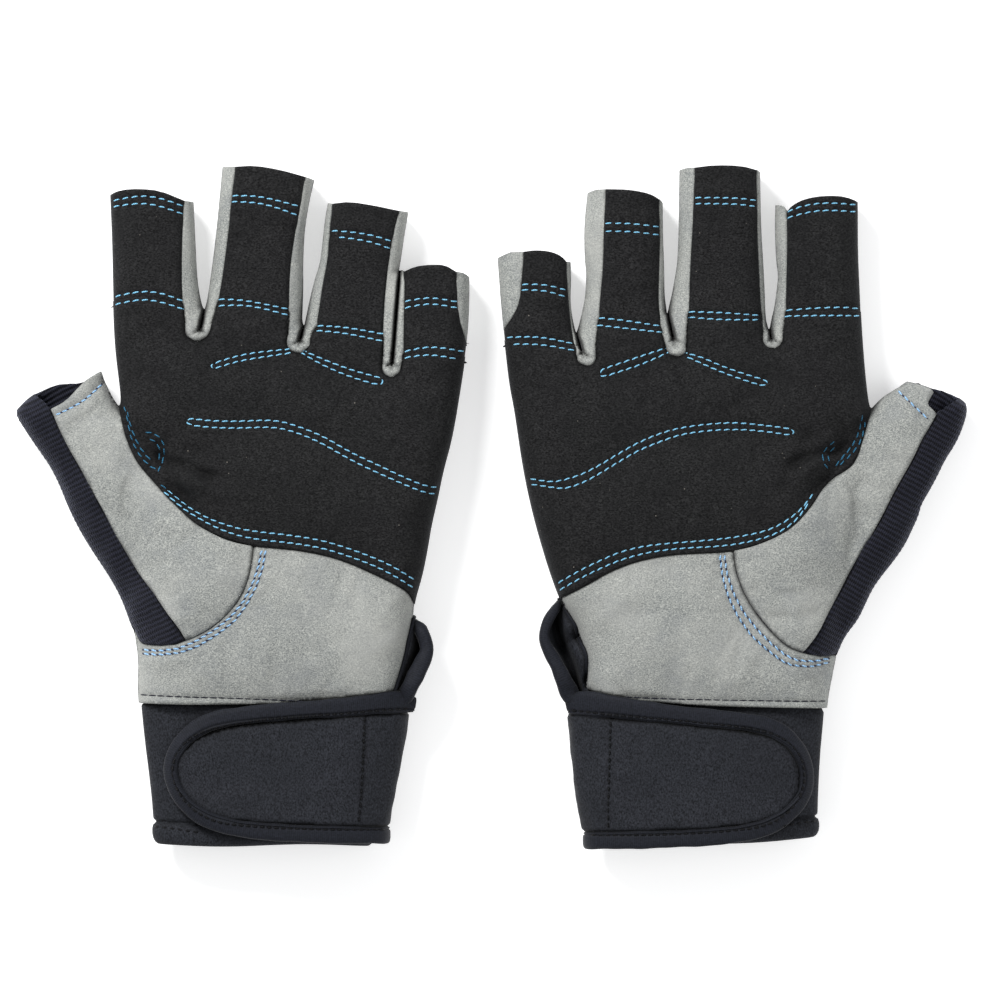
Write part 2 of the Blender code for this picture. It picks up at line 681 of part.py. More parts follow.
def cuff_angle(g, x, y, off):
    centre, half = width_at(g.cuff, y)
    return angle_of((x - centre) / (half + off))


def cuff_sheet(g, name, segments, place, thickness, material, parent=None, close=False):
    sheet(g.side + "_" + name, segments, place, thickness, material,
          lambda p: (width_at(g.cuff, p.y)[0], p.y, CUFF_HEIGHT / 2), parent, close)


def cuff_band(g):
    """Closed neoprene ring round the wrist."""
    low, high = g.cuff[-1][0], g.cuff[0][0] - CUFF_TOP_GAP
    cuff_sheet(g, "cuff_band", (32, 3),
               lambda u, v: cuff_point(g, low + (high - low) * v, 360.0 * u),
               NEOPRENE, "neoprene_black", close=True)


def patch(g, name, off, x_insets, y_inset, material, parent=None):
    """A closure patch; x_insets are its two ends measured from the strap's free end."""
    first, last = (g.strap_end[0] - g.thumb_side * inset for inset in x_insets)
    low, high = g.strap_low[0][1] + y_inset, g.strap_top[0][1] - y_inset

    def place(u, v):
        y = low + (high - low) * v
        start, stop = cuff_angle(g, first, y, off), cuff_angle(g, last, y, off)
        return cuff_point(g, y, start + (stop - start) * u, off)

    cuff_sheet(g, name, (8, 2), place, PATCH, material, parent)


def wrist_strap(g, hinge_angle, parent):
    upper, lower = [*g.strap_top, g.strap_end], [*g.strap_low, g.strap_end]

    def place(u, v):
        """u runs from the hinge to the rounded end, v from the lower edge to the upper edge."""
        u *= STRAP_REACH
        share = 1 - (1 - u) ** 1.5
        low, high = along(lower, share), along(upper, share)
        x, y = low + (high - low) * v
        angle = cuff_angle(g, x, y, STRAP_OFF)
        if u < STRAP_HINGE_SHARE:
            angle = hinge_angle + (angle - hinge_angle) * (u / STRAP_HINGE_SHARE)
        return cuff_point(g, y, angle, STRAP_OFF)

    cuff_sheet(g, "wrist_strap", (14, 5), place, STRAP_THICK, "neoprene_black", parent)


def strap_binding(g, parent):
    """A cord round the strap's free edge, clear of its cut edge."""
    outline = [*g.strap_top, g.strap_end, *g.strap_low[::-1]]
    rim = [along(outline, k / BINDING_STEPS) for k in range(BINDING_STEPS + 1)]
    rim = offset(rim, g.thumb_side * (BINDING_R + BINDING_CLEARANCE))
    off = STRAP_OFF - STRAP_THICK / 2
    cord = [cuff_point(g, y, cuff_angle(g, x, y, off), off) for x, y in rim]
    tube(g.side + "_strap_binding", cord, BINDING_R, "binding_black", parent)


def closure(g):
    """Loop patch on the cuff; hook patch, strap and binding on the hinged tab."""
    patch(g, "loop_patch", LOOP_OFF, (6, 50), 4, "loop_black")

    hinge_angle = STRAP_SIDE_ANGLE if g.thumb_side < 0 else 180.0 - STRAP_SIDE_ANGLE
    top = cuff_point(g, g.strap_top[0][1], hinge_angle, STRAP_OFF)
    low = cuff_point(g, g.strap_low[0][1], hinge_angle, STRAP_OFF)
    empty = joint_empty(g.side + "_strap_hinge", [(a + b) / 2 for a, b in zip(top, low)])

    patch(g, "hook_patch", HOOK_OFF, (9, 44), 6, "hook_black", empty)
    wrist_strap(g, hinge_angle, empty)
    strap_binding(g, empty)


def vent_binding(g):
    """Bound edge of the wrist vent, standing out on the little-finger side."""
    cord = [along(g.vent, k / VENT_STEPS) for k in range(VENT_STEPS + 1)]
    tube(g.side + "_vent_binding", cord, VENT_BINDING_R, "binding_black")


for glove in (LEFT, RIGHT):
    palm_overlay(glove)
    heel_panel(glove)
    back_panel(glove)
    thenar_panel(glove)
    thumb_gusset(glove)
    crotch_walls(glove)
    for finger in glove.fingers:
        finger_stall(glove, finger)
    thumb(glove)
    cuff_band(glove)
    closure(glove)
    vent_binding(glove)
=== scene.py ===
"""A pair of fingerless gloves lying palm up, side by side on a white floor.

The left glove lies at -X and the right one at +X, with the thumbs outwards. Fingers point
to +Y, the palms face +Z and the backs of the hands rest on z = 0. Lengths are millimetres
until a mesh is made. Both gloves are shaped in the left-hand sense, and the right one is
mirrored in X as its meshes are made.
"""
import json
import math

import bmesh
import bpy
import numpy as np
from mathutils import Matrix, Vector
from mathutils.bvhtree import BVHTree
from mathutils.geometry import delaunay_2d_cdt


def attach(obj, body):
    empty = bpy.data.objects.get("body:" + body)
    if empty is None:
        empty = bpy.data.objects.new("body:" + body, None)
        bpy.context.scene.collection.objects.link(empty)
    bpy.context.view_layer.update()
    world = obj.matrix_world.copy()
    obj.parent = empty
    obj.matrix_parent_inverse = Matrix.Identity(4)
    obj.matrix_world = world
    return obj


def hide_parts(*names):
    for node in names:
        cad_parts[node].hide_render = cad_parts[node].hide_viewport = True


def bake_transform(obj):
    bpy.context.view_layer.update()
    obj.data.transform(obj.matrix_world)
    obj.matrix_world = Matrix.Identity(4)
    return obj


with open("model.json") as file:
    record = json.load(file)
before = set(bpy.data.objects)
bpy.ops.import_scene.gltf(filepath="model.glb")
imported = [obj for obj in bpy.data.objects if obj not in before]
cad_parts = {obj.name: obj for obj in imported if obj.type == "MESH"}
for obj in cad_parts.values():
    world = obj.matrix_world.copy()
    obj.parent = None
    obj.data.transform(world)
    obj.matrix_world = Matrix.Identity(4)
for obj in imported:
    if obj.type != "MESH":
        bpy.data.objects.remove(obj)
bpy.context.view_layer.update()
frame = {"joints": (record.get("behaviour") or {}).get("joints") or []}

MM = 0.001
TURN = 2 * math.pi
JOINTS = {joint["name"]: joint for joint in frame["joints"]}
FINGERS = ["index", "middle", "ring", "little"]
OUTLINE = ["radial", "web", "gap_0", "gap_1", "gap_2", "ulnar"]

# ---------------------------------------------------------------- measured lines
# Points are x,y: x outwards from the middle between the gloves, y towards the fingertips.
# Lines run from the thumb side to the little-finger side, or from root to tip. A slash
# starts the next line of an entry. "near" is a finger's thumb side, "far" its other side,
# and "_end" the short run across a gusset's tip. "vent" has the binding's half width as a
# third column; "cuff" gives its thumb side, then its little-finger side.
LINES = {
    "left": """
radial: 105.19,-60.82 105.79,-55.42 105.49,-48.82 105.79,-43.42 106.69,-38.62 108.79,-32.62
 110.59,-27.82 113.29,-22.72 116.59,-17.62 120.19,-12.22 124.09,-5.62 127.09,0.98 129.19,6.38
 131.89,11.78 135.49,16.88 139.39,22.58 142.39,27.38 141.19,29.78 136.69,33.38
web: 116.89,40.13 115.09,36.08 112.99,31.88 111.04,29.18 110.44,31.28 110.89,36.08 112.09,45.08
 112.69,54.08 112.99,64.58 113.29,79.58 113.89,93.08
gap_0: 88.99,90.98 88.39,77.78 87.94,68.18 87.04,62.18 85.84,57.98 84.94,60.38 84.34,63.68
 83.29,71.18 82.09,80.78 81.19,90.08 80.14,101.48
gap_1: 52.69,97.58 54.19,91.58 55.69,82.58 56.14,72.68 56.05,65.78 56.29,58.58 56.44,55.28
 55.69,53.18 54.94,56.78 53.74,62.48 52.39,67.88 50.8,72.68 49.99,79.58 49.39,85.58 48.49,90.68
gap_2: 24.49,87.98 25.69,81.08 26.59,74.78 27.49,69.38 27.04,69.68
ulnar: 6.19,68.48 6.19,61.58 6.49,54.08 7.09,48.08 7.99,40.58 9.19,33.08 10.39,25.58 11.89,18.08
 13.99,10.58 15.79,1.58 17.59,-5.92 18.79,-13.42 20.29,-20.92 21.79,-26.02 22.69,-29.62
 22.99,-35.02 24.19,-41.92 25.69,-49.42 27.49,-56.02 28.09,-60.22
index_base: 112.99,61.28 104.89,63.08 98.29,62.18 91.99,60.08
index_tip: 113.89,93.08 110.29,94.58 104.89,94.88 98.89,94.28 91.69,91.28
index_far: 91.99,60.08 92.29,64.58 92.29,76.58 91.69,91.28
index_far_end: 91.69,91.28 88.99,90.98
middle_base: 81.34,60.68 74.89,60.68 67.39,59.78 60.34,57.98
middle_tip: 76.09,101.48 70.39,101.78 62.89,100.58 55.39,98.48
middle_near: 81.34,60.68 80.59,64.58 78.49,79.58 77.29,91.58 76.09,101.48
middle_far: 60.34,57.98 60.19,61.58 59.89,70.58 58.69,79.58 56.89,90.08 55.39,98.48
middle_near_end: 79.99,101.48 76.09,101.48
middle_far_end: 55.39,98.48 52.69,97.58
ring_base: 51.79,53.18 43.39,52.58 31.99,50.18
ring_tip: 46.99,90.38 41.89,90.98 34.39,89.78 27.19,88.28
ring_near: 51.79,53.18 50.89,60.08 49.99,66.08 48.49,73.58 47.89,81.08 46.99,90.38
ring_far: 31.99,50.18 31.69,58.58 31.09,66.08 30.19,73.58 28.99,81.08 27.19,88.28
ring_near_end: 48.49,90.68 46.99,90.38
ring_far_end: 27.19,88.28 24.49,87.98
little_base: 25.69,45.08 17.89,46.58 7.39,44.78
little_tip: 25.69,69.98 22.39,71.48 17.89,72.08 13.39,72.08 10.09,69.98
little_near: 25.69,45.08 25.69,52.58 25.39,64.58 25.69,69.98
little_far: 7.03,48.68 7.99,51.98 9.19,55.58 9.79,61.58 10.09,69.98
little_near_end: 27.19,69.68 25.69,69.98
little_far_end: 10.09,69.98 7.99,69.68 6.19,68.48
pit: 86.74,52.58 56.89,49.28 29.17,42.68
notch: 91.99,60.08 91.69,55.58 90.49,51.68 87.79,49.58 84.49,51.68 82.39,56.18 81.34,60.68
 / 60.34,57.98 60.79,51.08 60.19,48.08 57.49,45.98 54.49,48.08 53.29,51.08 51.79,53.18
 / 31.99,50.18 32.29,43.58 31.39,40.58 29.59,38.78 27.49,40.58 25.99,43.58 25.69,45.08
seam: 111.04,29.18 110.59,27.08 109.69,23.48 108.49,19.28 105.79,13.28 101.89,8.48 97.39,3.38
 92.89,-1.12 88.39,-5.32 82.39,-8.92 76.39,-11.32 68.89,-12.52 59.89,-13.12 50.89,-14.62
 43.39,-16.72 35.89,-20.02 28.39,-23.62 24.49,-26.02 22.69,-29.62
rib_edge: 131.38,28.76 128.89,22.58 125.89,16.58 122.29,10.58 119.29,4.58 115.69,-1.42
 112.09,-8.92 108.49,-14.92 104.89,-20.92 101.29,-25.42 97.39,-30.82 93.49,-35.92 90.79,-40.42
front_tip: 131.38,28.76 126.91,31.19 123.19,35.33 120.79,37.73 116.89,40.13
rib_tip: 136.69,33.38 133.69,31.28 131.38,28.76
back_tip: 136.69,33.38 130.39,36.38 122.29,36.68 119.29,38.48 116.89,40.13
thenar: 90.79,-40.42 88.39,-39.52 83.89,-37.12 79.39,-33.52 75.49,-29.02 72.79,-23.92
 71.29,-17.92 70.69,-12.34
rib_low: 107.05,-37.12 106.09,-39.67 104.59,-41.47 101.89,-42.07 97.39,-42.07 92.89,-41.32
 90.79,-40.42
bottom: 105.19,-59.32 85.69,-59.83 66.79,-59.47 56.89,-58.72 43.99,-57.82 38.29,-56.8
 28.39,-55.48
thumb_line: 111.04,29.18 108.49,19.58 106.39,7.58 105.49,-4.42 105.49,-16.42 106.09,-28.42
 106.69,-38.62
web_edge: 115.99,39.98 111.79,31.58 110.59,29.18 108.49,24.08 104.89,-40.42
cuff: 104.44,-60.22 103.09,-73.42 101.29,-88.42 100.09,-101.92
 / 28.39,-60.22 30.49,-73.42 33.04,-88.42 35.44,-101.92
vent: 22.24,-35.02,0.9 20.74,-36.97,2.0 19.27,-40.42,2.0 18.64,-43.57,2.25 19.84,-46.42,2.4
 22.27,-51.22,2.55 25.15,-57.07,2.7 27.19,-58.87,2.7 30.19,-59.77,2.5 33.79,-60.22,2.3
vent_edge: 22.99,-33.52 23.71,-36.13 24.7,-40.36 25.45,-44.32 26.32,-47.83 27.43,-51.55
 28.69,-55.42 29.59,-58.12
binding: 22.84,-59.77 25.39,-59.2 28.99,-58.9 38.29,-59.92 43.99,-60.52 57.19,-61.33
 71.29,-62.44 83.89,-64.36 91.09,-68.92 95.44,-75.22 95.89,-81.52 92.59,-88.27 86.29,-93.52
 77.89,-96.22 70.09,-97.42 54.79,-98.32 43.39,-98.62 30.49,-98.77
strap: 24.19,-62.23 37.48,-63.13 54.61,-64.36 69.94,-65.59 81.55,-67.42 86.89,-69.52
 89.53,-71.41 92.29,-74.32 93.49,-77.53 93.7,-80.32 93.19,-83.02 91.39,-86.62 88.3,-89.77
 84.79,-92.02 80.35,-93.76 69.94,-94.96 54.61,-95.77 29.53,-96.07
strap_stitch: 37.39,-63.22 37.99,-79.42 39.19,-95.02
cuff_stitch: 100.99,-96.22 94.39,-96.82 86.89,-98.02
palm: 112.69,60.08 104.89,61.88 98.29,60.98 92.29,58.88
 / 80.89,59.78 71.89,60.08 60.79,57.08
 / 51.49,52.28 43.39,51.68 32.59,49.28
 / 25.09,44.18 17.89,45.38 8.29,43.58
 / 60.49,46.73 62.89,46.49 70.39,45.68 76.39,44.48 82.69,42.53 83.59,41.63 82.69,40.73
 76.39,42.83 70.39,44.03 60.49,45.53
 / 55.69,46.28 50.89,44.18 46.39,42.38 41.89,40.73 37.39,39.38 32.29,38.03 31.84,36.98
 32.89,35.93 38.89,37.58 44.89,39.68 50.89,42.38 55.99,45.38
 / 15.49,5.33 19.39,5.78 25.39,8.18 32.89,11.78 41.89,15.98 49.39,20.48 56.89,23.48 64.39,25.58
 74.89,25.13 83.89,25.28 89.89,26.03 90.79,25.13 89.89,24.08 83.89,23.33 74.89,23.03
 64.39,23.48 56.89,21.53 49.39,18.23 41.89,13.73 32.89,9.38 23.89,5.48 19.39,3.83 16.09,3.38
 / 98.59,6.38 92.89,1.58 88.39,-1.72 82.39,-4.72 74.89,-7.12 68.89,-8.02 59.89,-8.92
 50.89,-10.27 43.39,-12.52 35.89,-15.22 28.39,-18.52 22.39,-22.42
 / 97.69,4.28 91.99,-0.82 86.89,-3.97 80.89,-7.12 74.89,-9.22 68.29,-10.42 59.89,-11.17
 50.89,-12.52 42.49,-15.07 33.49,-18.52 27.49,-21.67 22.69,-24.82
 / 109.69,30.08 108.64,27.08 107.89,22.58 106.99,19.28 104.89,15.08 101.89,11.78 99.49,10.58
 / 108.49,28.58 107.59,24.08 105.79,19.28 103.69,15.98 101.29,13.28
 / 103.39,21.98 100.09,21.53 97.69,19.13 97.24,15.98 97.99,12.68 99.49,9.68
 / 102.19,20.03 99.64,18.98 98.59,16.28 99.19,13.28
twist: 68.29,-13.12 69.19,-17.92 70.99,-23.32 73.99,-29.02 77.89,-33.52 82.39,-37.12
 88.39,-40.72 93.49,-42.82 98.89,-43.42 103.99,-43.12
 / 66.79,-13.12 67.69,-18.82 69.79,-24.82 72.79,-30.22 76.09,-34.72 81.19,-38.62 86.89,-42.22
 92.59,-44.32 98.89,-44.92 103.99,-44.62
dark: 104.89,-56.8 91.99,-57.31 73.09,-57.94 55.39,-58.66
hem: 130.09,26.93 124.09,29.78 120.01,32.57 116.29,36.38
index_rows: 113.29,91.28 104.89,92.93 98.89,92.18 92.29,89.78
 / 113.29,89.48 104.89,90.68 98.89,89.78 92.29,87.38
 / 112.69,62.48 104.89,64.28 98.29,63.68 92.29,61.28
middle_rows: 76.69,92.78 70.39,92.78 64.39,91.58 57.79,89.78
 / 76.99,90.98 70.39,90.83 64.39,89.48 58.09,87.08
 / 80.89,61.73 73.39,61.58 60.79,58.88
ring_rows: 46.99,82.28 40.39,81.83 34.39,80.78 29.89,79.28
 / 47.59,80.63 40.39,79.88 34.39,78.68 30.19,77.03
 / 51.19,53.78 43.39,53.48 32.29,51.38
little_rows: 25.09,61.13 17.89,62.48 9.79,60.98
 / 25.09,59.18 17.89,60.68 9.79,59.18
 / 25.09,46.13 17.89,47.78 7.69,46.13
""",
    "right": """
radial: 101.21,-62.32 101.81,-56.92 102.71,-52.42 103.61,-47.62 104.51,-44.02 106.61,-39.22
 110.51,-34.42 112.61,-29.92 114.71,-25.42 117.11,-21.82 121.01,-17.02 124.61,-11.92
 126.71,-7.42 128.81,-2.92 129.41,0.08 132.11,4.58 134.51,9.08 136.61,13.58 139.61,18.08
 141.71,22.58 143.21,27.38 143.21,30.38 141.11,32.18
web: 125.51,36.98 121.61,34.73 118.01,32.48 115.61,30.08 114.26,28.58 113.51,30.98 112.61,39.08
 112.01,46.58 111.41,55.58 111.11,63.08 110.51,76.58 110.51,90.98
gap_0: 85.91,90.08 85.76,82.58 86.12,72.98 86.81,69.26 86.42,65.48 85.61,59.18 84.71,55.88
 84.05,51.98 83.21,54.08 82.7,56.78 82.52,63.08 81.98,74.18 81.41,82.58 81.11,99.98
gap_1: 57.11,100.58 56.96,91.58 56.9,82.58 56.51,72.98 55.79,68.48 54.83,63.08 54.11,60.38
 53.3,56.48 52.85,59.78 52.37,63.08 52.31,71.48 51.92,81.08 51.86,90.68
gap_2: 29.51,93.68 28.46,84.08 28.61,74.18 29.15,69.98 29.03,66.08 28.73,61.88 27.5,56.18
 26.51,52.58 25.97,51.38 25.55,52.58 24.71,56.18 24.08,61.58 24.41,67.28 24.2,72.98
ulnar: 2.51,74.18 3.11,66.08 3.41,61.58 4.01,55.58 4.91,46.58 6.11,36.08 7.61,28.58 9.11,18.08
 10.31,10.58 11.81,3.08 13.61,-4.42 15.71,-11.92 17.81,-18.82 19.91,-24.82 21.11,-27.82
 22.91,-31.72 25.61,-35.92 27.71,-41.92 28.91,-47.92 28.91,-53.62 28.31,-61.12
index_base: 111.41,57.83 105.11,58.58 97.61,58.58 88.91,57.68
index_tip: 110.51,90.98 106.61,92.48 100.61,92.78 94.61,91.88 91.01,90.08 89.21,87.98
index_far: 88.91,57.68 88.91,61.58 89.21,73.58 89.21,87.98
index_far_end: 89.21,87.98 87.71,89.93 85.91,90.08
middle_base: 81.41,57.38 75.11,57.08 67.61,56.78 59.81,57.23
middle_tip: 79.91,100.58 75.11,101.78 67.61,101.93 61.61,101.18
middle_near: 81.41,57.38 80.81,67.58 80.21,82.58 79.91,100.58
middle_far: 59.81,57.23 60.11,70.58 61.01,85.58 61.61,101.18
middle_near_end: 81.11,99.98 79.91,100.58
middle_far_end: 61.61,101.18 59.51,101.18 57.11,100.58
ring_base: 51.26,53.03 42.11,54.23 32.81,55.13
ring_tip: 50.66,91.88 48.11,93.38 42.11,94.58 34.91,94.73
ring_near: 51.26,53.03 50.51,61.58 50.66,67.58 50.96,76.58 50.96,82.58 50.66,91.88
ring_far: 32.81,55.13 33.11,61.58 34.01,70.58 34.31,82.58 34.91,94.73
ring_near_end: 51.86,90.68 50.66,91.88
ring_far_end: 34.91,94.73 31.91,94.58 29.51,93.68
little_base: 25.46,47.78 15.11,49.73 4.67,49.28
little_tip: 22.91,72.98 21.41,74.78 18.11,76.13 13.61,76.43 10.31,75.98
little_near: 25.46,47.78 24.71,51.08 23.81,58.58 23.21,66.08 22.91,72.98
little_far: 4.37,52.58 7.31,57.08 9.11,60.98 9.71,67.58 10.31,75.98
little_near_end: 24.26,72.98 22.91,72.98
little_far_end: 10.31,75.98 6.11,75.83 2.51,74.18
pit: 84.47,49.88 55.07,49.88 27.77,45.68
notch: 88.91,57.68 88.31,52.58 87.11,48.68 84.41,46.88 82.31,49.28 81.41,53.48 81.41,57.38
 / 59.81,57.23 59.21,50.18 58.31,46.28 56.21,44.48 53.51,46.58 51.71,50.18 51.26,53.03
 / 32.81,55.13 32.21,49.58 31.61,44.18 29.51,41.78 27.11,43.28 25.76,46.28 25.46,47.78
seam: 114.26,28.58 113.66,26.48 112.91,23.48 111.71,19.58 110.66,15.98 109.01,12.38 106.61,10.28
 102.41,7.88 99.11,4.28 96.11,-0.52 91.91,-5.32 87.11,-8.92 81.11,-11.62 75.11,-13.27
 69.11,-14.17 63.11,-14.32 54.11,-14.77 45.11,-16.42 36.11,-19.72 30.11,-23.32 25.61,-25.72
 21.11,-27.82
rib_edge: 133.91,27.38 131.81,23.48 129.11,18.98 126.71,13.58 123.11,7.58 120.71,3.08
 117.71,-2.92 114.41,-8.92 111.11,-14.02 107.51,-20.62 104.51,-26.62 101.51,-32.02
 98.51,-37.42 95.51,-41.92 93.71,-44.02
flap: 133.91,27.38 125.51,36.98
front_tip: 133.91,27.38 133.16,28.43 131.06,30.23 132.11,32.18 133.76,34.13 131.81,35.33
 128.51,36.38 125.51,36.98
rib_tip: 141.11,32.18 137.51,30.08 133.91,27.38
back_tip: 141.11,32.18 138.11,33.68 134.51,34.58 129.71,36.38 125.51,36.98
thenar: 93.71,-44.02 90.11,-42.82 87.11,-40.72 82.61,-35.92 78.71,-30.82 75.71,-25.42
 73.61,-19.42 73.01,-13.63
rib_low: 104.36,-44.77 101.51,-45.22 97.61,-44.92 93.71,-44.02
bottom: 101.51,-60.82 90.11,-60.67 68.21,-60.22 57.11,-59.47 45.11,-58.51 38.81,-57.28
 33.41,-56.17 28.76,-54.97
thumb_line: 114.26,28.58 111.11,19.58 108.11,7.58 106.61,-4.42 105.71,-16.42 105.11,-28.42
 104.51,-44.02
web_edge: 124.61,37.58 116.81,32.18 113.81,28.58 111.71,23.48 102.71,-43.42
cuff: 100.31,-61.12 99.26,-73.42 98.51,-88.42 97.91,-101.92
 / 27.71,-61.12 28.76,-73.42 30.41,-88.42 33.41,-101.92
vent: 20.66,-29.17,0.7 19.91,-30.82,1.2 18.05,-33.37,1.5 16.67,-36.43,1.5 16.16,-38.8,1.45
 16.55,-41.2,1.55 17.75,-43.72,1.8 19.76,-47.02,2.1 21.29,-50.32,2.4 22.94,-54.22,2.7
 24.65,-57.67,2.8 26.81,-59.32,2.7 29.81,-60.22,2.5 33.41,-60.82,2.3
vent_edge: 21.26,-28.12 22.31,-30.22 23.63,-32.38 25.01,-34.27 26.03,-35.86 26.39,-37.42
 26.84,-39.34 27.71,-41.17 28.73,-43.09 29.33,-44.92 29.45,-46.72 29.39,-49 29,-51.22
 28.85,-54.88 29.06,-58.12
binding: 23.66,-60.37 25.91,-59.62 28.61,-59.44 33.41,-59.89 38.81,-60.58 45.11,-61.42
 59.51,-63.1 73.91,-64.42 82.61,-65.77 88.31,-68.47 92.21,-72.22 94.61,-76.42 95.51,-80.92
 94.91,-86.02 91.61,-90.82 86.21,-95.02 79.61,-97.57 68.21,-99.22 51.11,-99.97 39.11,-100.27
 29.51,-100.42
strap: 24.11,-62.47 36.71,-64.21 47.51,-64.72 59.66,-65.92 73.91,-67.42 84.41,-69.37
 87.71,-71.02 90.11,-73.42 92.21,-76.42 92.96,-79.12 93.11,-82.42 92.36,-85.42 90.71,-88.72
 87.71,-91.72 84.11,-93.82 79.76,-95.2 68.21,-96.64 51.11,-97.42 28.01,-97.72
strap_stitch: 36.26,-64.42 35.81,-80.92 35.51,-96.82
cuff_stitch: 98.21,-94.72 93.41,-95.02 87.11,-96.22
palm: 111.11,56.78 100.61,56.93 89.21,56.63
 / 80.21,55.58 69.11,55.58 60.11,56.33
 / 51.41,51.83 42.11,52.88 32.51,53.93
 / 25.01,46.43 15.11,48.38 5.21,48.23
 / 58.31,45.68 63.11,44.48 69.11,41.78 75.11,39.68 79.61,38.33 82.91,37.43 83.21,36.38
 82.01,35.63 76.61,37.28 69.11,39.98 60.11,44.03
 / 53.51,47.33 51.11,46.58 45.11,44.63 39.11,42.53 33.71,40.73 32.96,39.53 33.71,38.33
 39.11,40.13 45.11,42.08 51.11,44.63 53.81,45.98
 / 11.81,8.03 16.61,7.13 20.21,6.98 27.11,8.93 33.11,12.08 39.11,15.83 45.11,19.13 51.11,21.53
 57.11,23.18 66.11,24.38 73.61,24.83 81.11,24.08 90.41,22.88 91.16,21.83 90.11,20.93
 84.11,21.98 75.11,22.73 66.11,22.43 57.11,21.23 51.11,19.13 45.11,16.73 39.11,13.28
 34.61,10.43 28.61,6.98 22.61,4.88 18.11,5.48 12.11,6.38
 / 20.21,-23.47 27.11,-19.42 33.11,-16.57 39.11,-13.87 46.61,-12.07 54.11,-11.32 63.11,-10.72
 72.11,-9.82 81.11,-8.17 87.11,-5.77 93.11,-1.42 97.01,3.68
 / 20.66,-25.57 27.11,-21.82 34.61,-18.22 40.61,-15.82 48.11,-13.87 57.11,-12.82 69.11,-12.37
 78.11,-10.87 85.61,-8.62 91.61,-4.72 95.51,0.68
 / 111.71,27.38 111.11,24.08 110.21,20.78 108.41,17.48 105.71,14.48 103.31,11.48
 / 112.61,25.58 112.01,21.98 110.81,18.38 108.11,15.08 104.51,11.78
 / 103.61,19.43 100.91,17.48 99.56,15.38 99.86,12.68 101.51,10.58
 / 103.91,17.78 101.93,16.28 101.21,14.48 101.81,12.38
twist: 70.31,-14.62 71.21,-20.62 73.31,-26.62 76.31,-32.02 80.21,-36.82 84.11,-40.87
 88.61,-44.62 92.21,-46.27 97.61,-46.57 101.81,-45.67
 / 68.66,-14.62 69.41,-21.22 71.21,-27.52 73.91,-33.22 78.11,-39.22 82.61,-43.27 87.11,-46.72
 90.11,-48.07 96.11,-48.52 101.81,-47.17
dark: 100.91,-58.72 88.31,-58.57 73.91,-58.42 59.66,-58.12 46.46,-57.67 40.31,-57.37
hem: 122.21,34.58 126.71,30.08 131.21,25.88
index_rows: 110.21,90.08 100.61,90.83 93.11,89.63 89.51,87.98
 / 110.21,87.98 100.61,88.58 94.61,87.68 89.51,86.18
 / 111.11,58.88 106.61,59.48 96.11,59.03 89.21,58.43
middle_rows: 79.61,91.43 73.61,92.18 61.91,92.18
 / 79.31,89.63 73.61,90.38 61.91,90.38
 / 80.21,56.93 69.11,57.83 60.11,57.98
ring_rows: 50.51,83.48 42.11,84.53 34.91,84.53
 / 50.51,81.08 42.11,82.13 34.91,82.13
 / 50.51,53.78 40.61,55.43 33.11,56.18
little_rows: 22.61,64.58 16.61,66.23 9.71,66.23
 / 22.31,62.63 16.61,64.43 9.71,64.58
 / 24.41,48.53 15.11,50.63 5.21,50.33
""",
}
# What else differs between the gloves. The shade centre is where the palm thread turns darker,
# as painted shade by the web, from the crease origin; binding_width is (distance along it, half
# width).
TRAITS = {
    "left": dict(
        seed=5, notch_sink=1.0, cuff_raise=0.0, cuff_phase=0, cuff_tilt=0.0,
        shade_centre=(-1.5, 9.0),
        binding_width=[(0, 2.3), (5.8, 3.35), (15.4, 3.15), (21, 2.85), (34, 2.65)],
    ),
    "right": dict(
        seed=11, notch_sink=0.6, cuff_raise=0.5, cuff_phase=2, cuff_tilt=-1.7,
        shade_centre=(2.4, 4.2),
        binding_width=[(0, 2.5), (4.5, 3.75), (9.3, 3.85), (15, 3.5), (21, 3.1), (35.6, 2.7)],
    ),
}
# (y, thickness of the hand there)
HEIGHT = np.array([
    (-118.42, 19.8), (-59.92, 20.2), (-49.42, 21.6), (-40.42, 22.6), (-28.42, 23.2),
    (-4.42, 23.2), (10.58, 22.2), (25.58, 20.6), (37.58, 18.8), (48.08, 17.4),
    (58.58, 16.6), (103.58, 15.8),
])
ROUND_FRONT, ROUND_BACK = 9.5, 7.5  # how far in from the silhouette each side is rounded
THUMB_HEIGHT = 17.0
MIDDLE = 0.44  # height of the silhouette's edge, as a share of the thickness
# Creases by the web: x, y from the crease origin, direction in degrees, length, width, depth
CREASES = [
    (7.0, 1.0, -58, 13, 3.2, -1.7), (12.5, -1.0, -50, 12, 2.6, 0.9),
    (17.0, 1.0, -62, 11, 2.4, -0.8), (10.5, 3.0, -20, 9.5, 2.0, -1.6),
    (13.0, -1.4, -24, 9, 2.1, 0.9), (6.5, -3.4, -36, 8, 1.7, -1.0),
    (19.0, 7.0, -12, 9, 2.6, -0.7), (4.5, 9.5, 62, 6, 2.2, -0.9),
]
CREASE_GAIN = 1.35
STITCH = 2.55  # stitch pitch
SLANT = -0.30  # a stitch leans a little across its line
RIB = 1.5  # pitch of the ribbed knit
CUFF_HEIGHT, CUFF_POWER = 19.0, 2.6
CUFF_COLUMNS = 200
# The hem's section: height above the cuff's lower edge, distance out
CUFF_HEM = [
    (7.6, -0.1), (7.1, -0.65), (6.7, -0.75), (6.3, -0.35), (5.8, 0.25), (4.6, 0.6), (3.2, 0.7),
    (1.8, 0.55), (0.8, 0.1), (0.15, -0.6), (0, -1.3), (0.3, -2.0), (1.0, -2.4), (3, -2.5),
]
# Metres before and after each joint that mark a zone round it; the zones are worked out but
# nothing is bent with them
BEND_REACH = {finger: (0.0003, 0.007) for finger in FINGERS}
BEND_REACH |= {"thumb": (0.004, 0.008), "strap": (0.001, 0.009)}


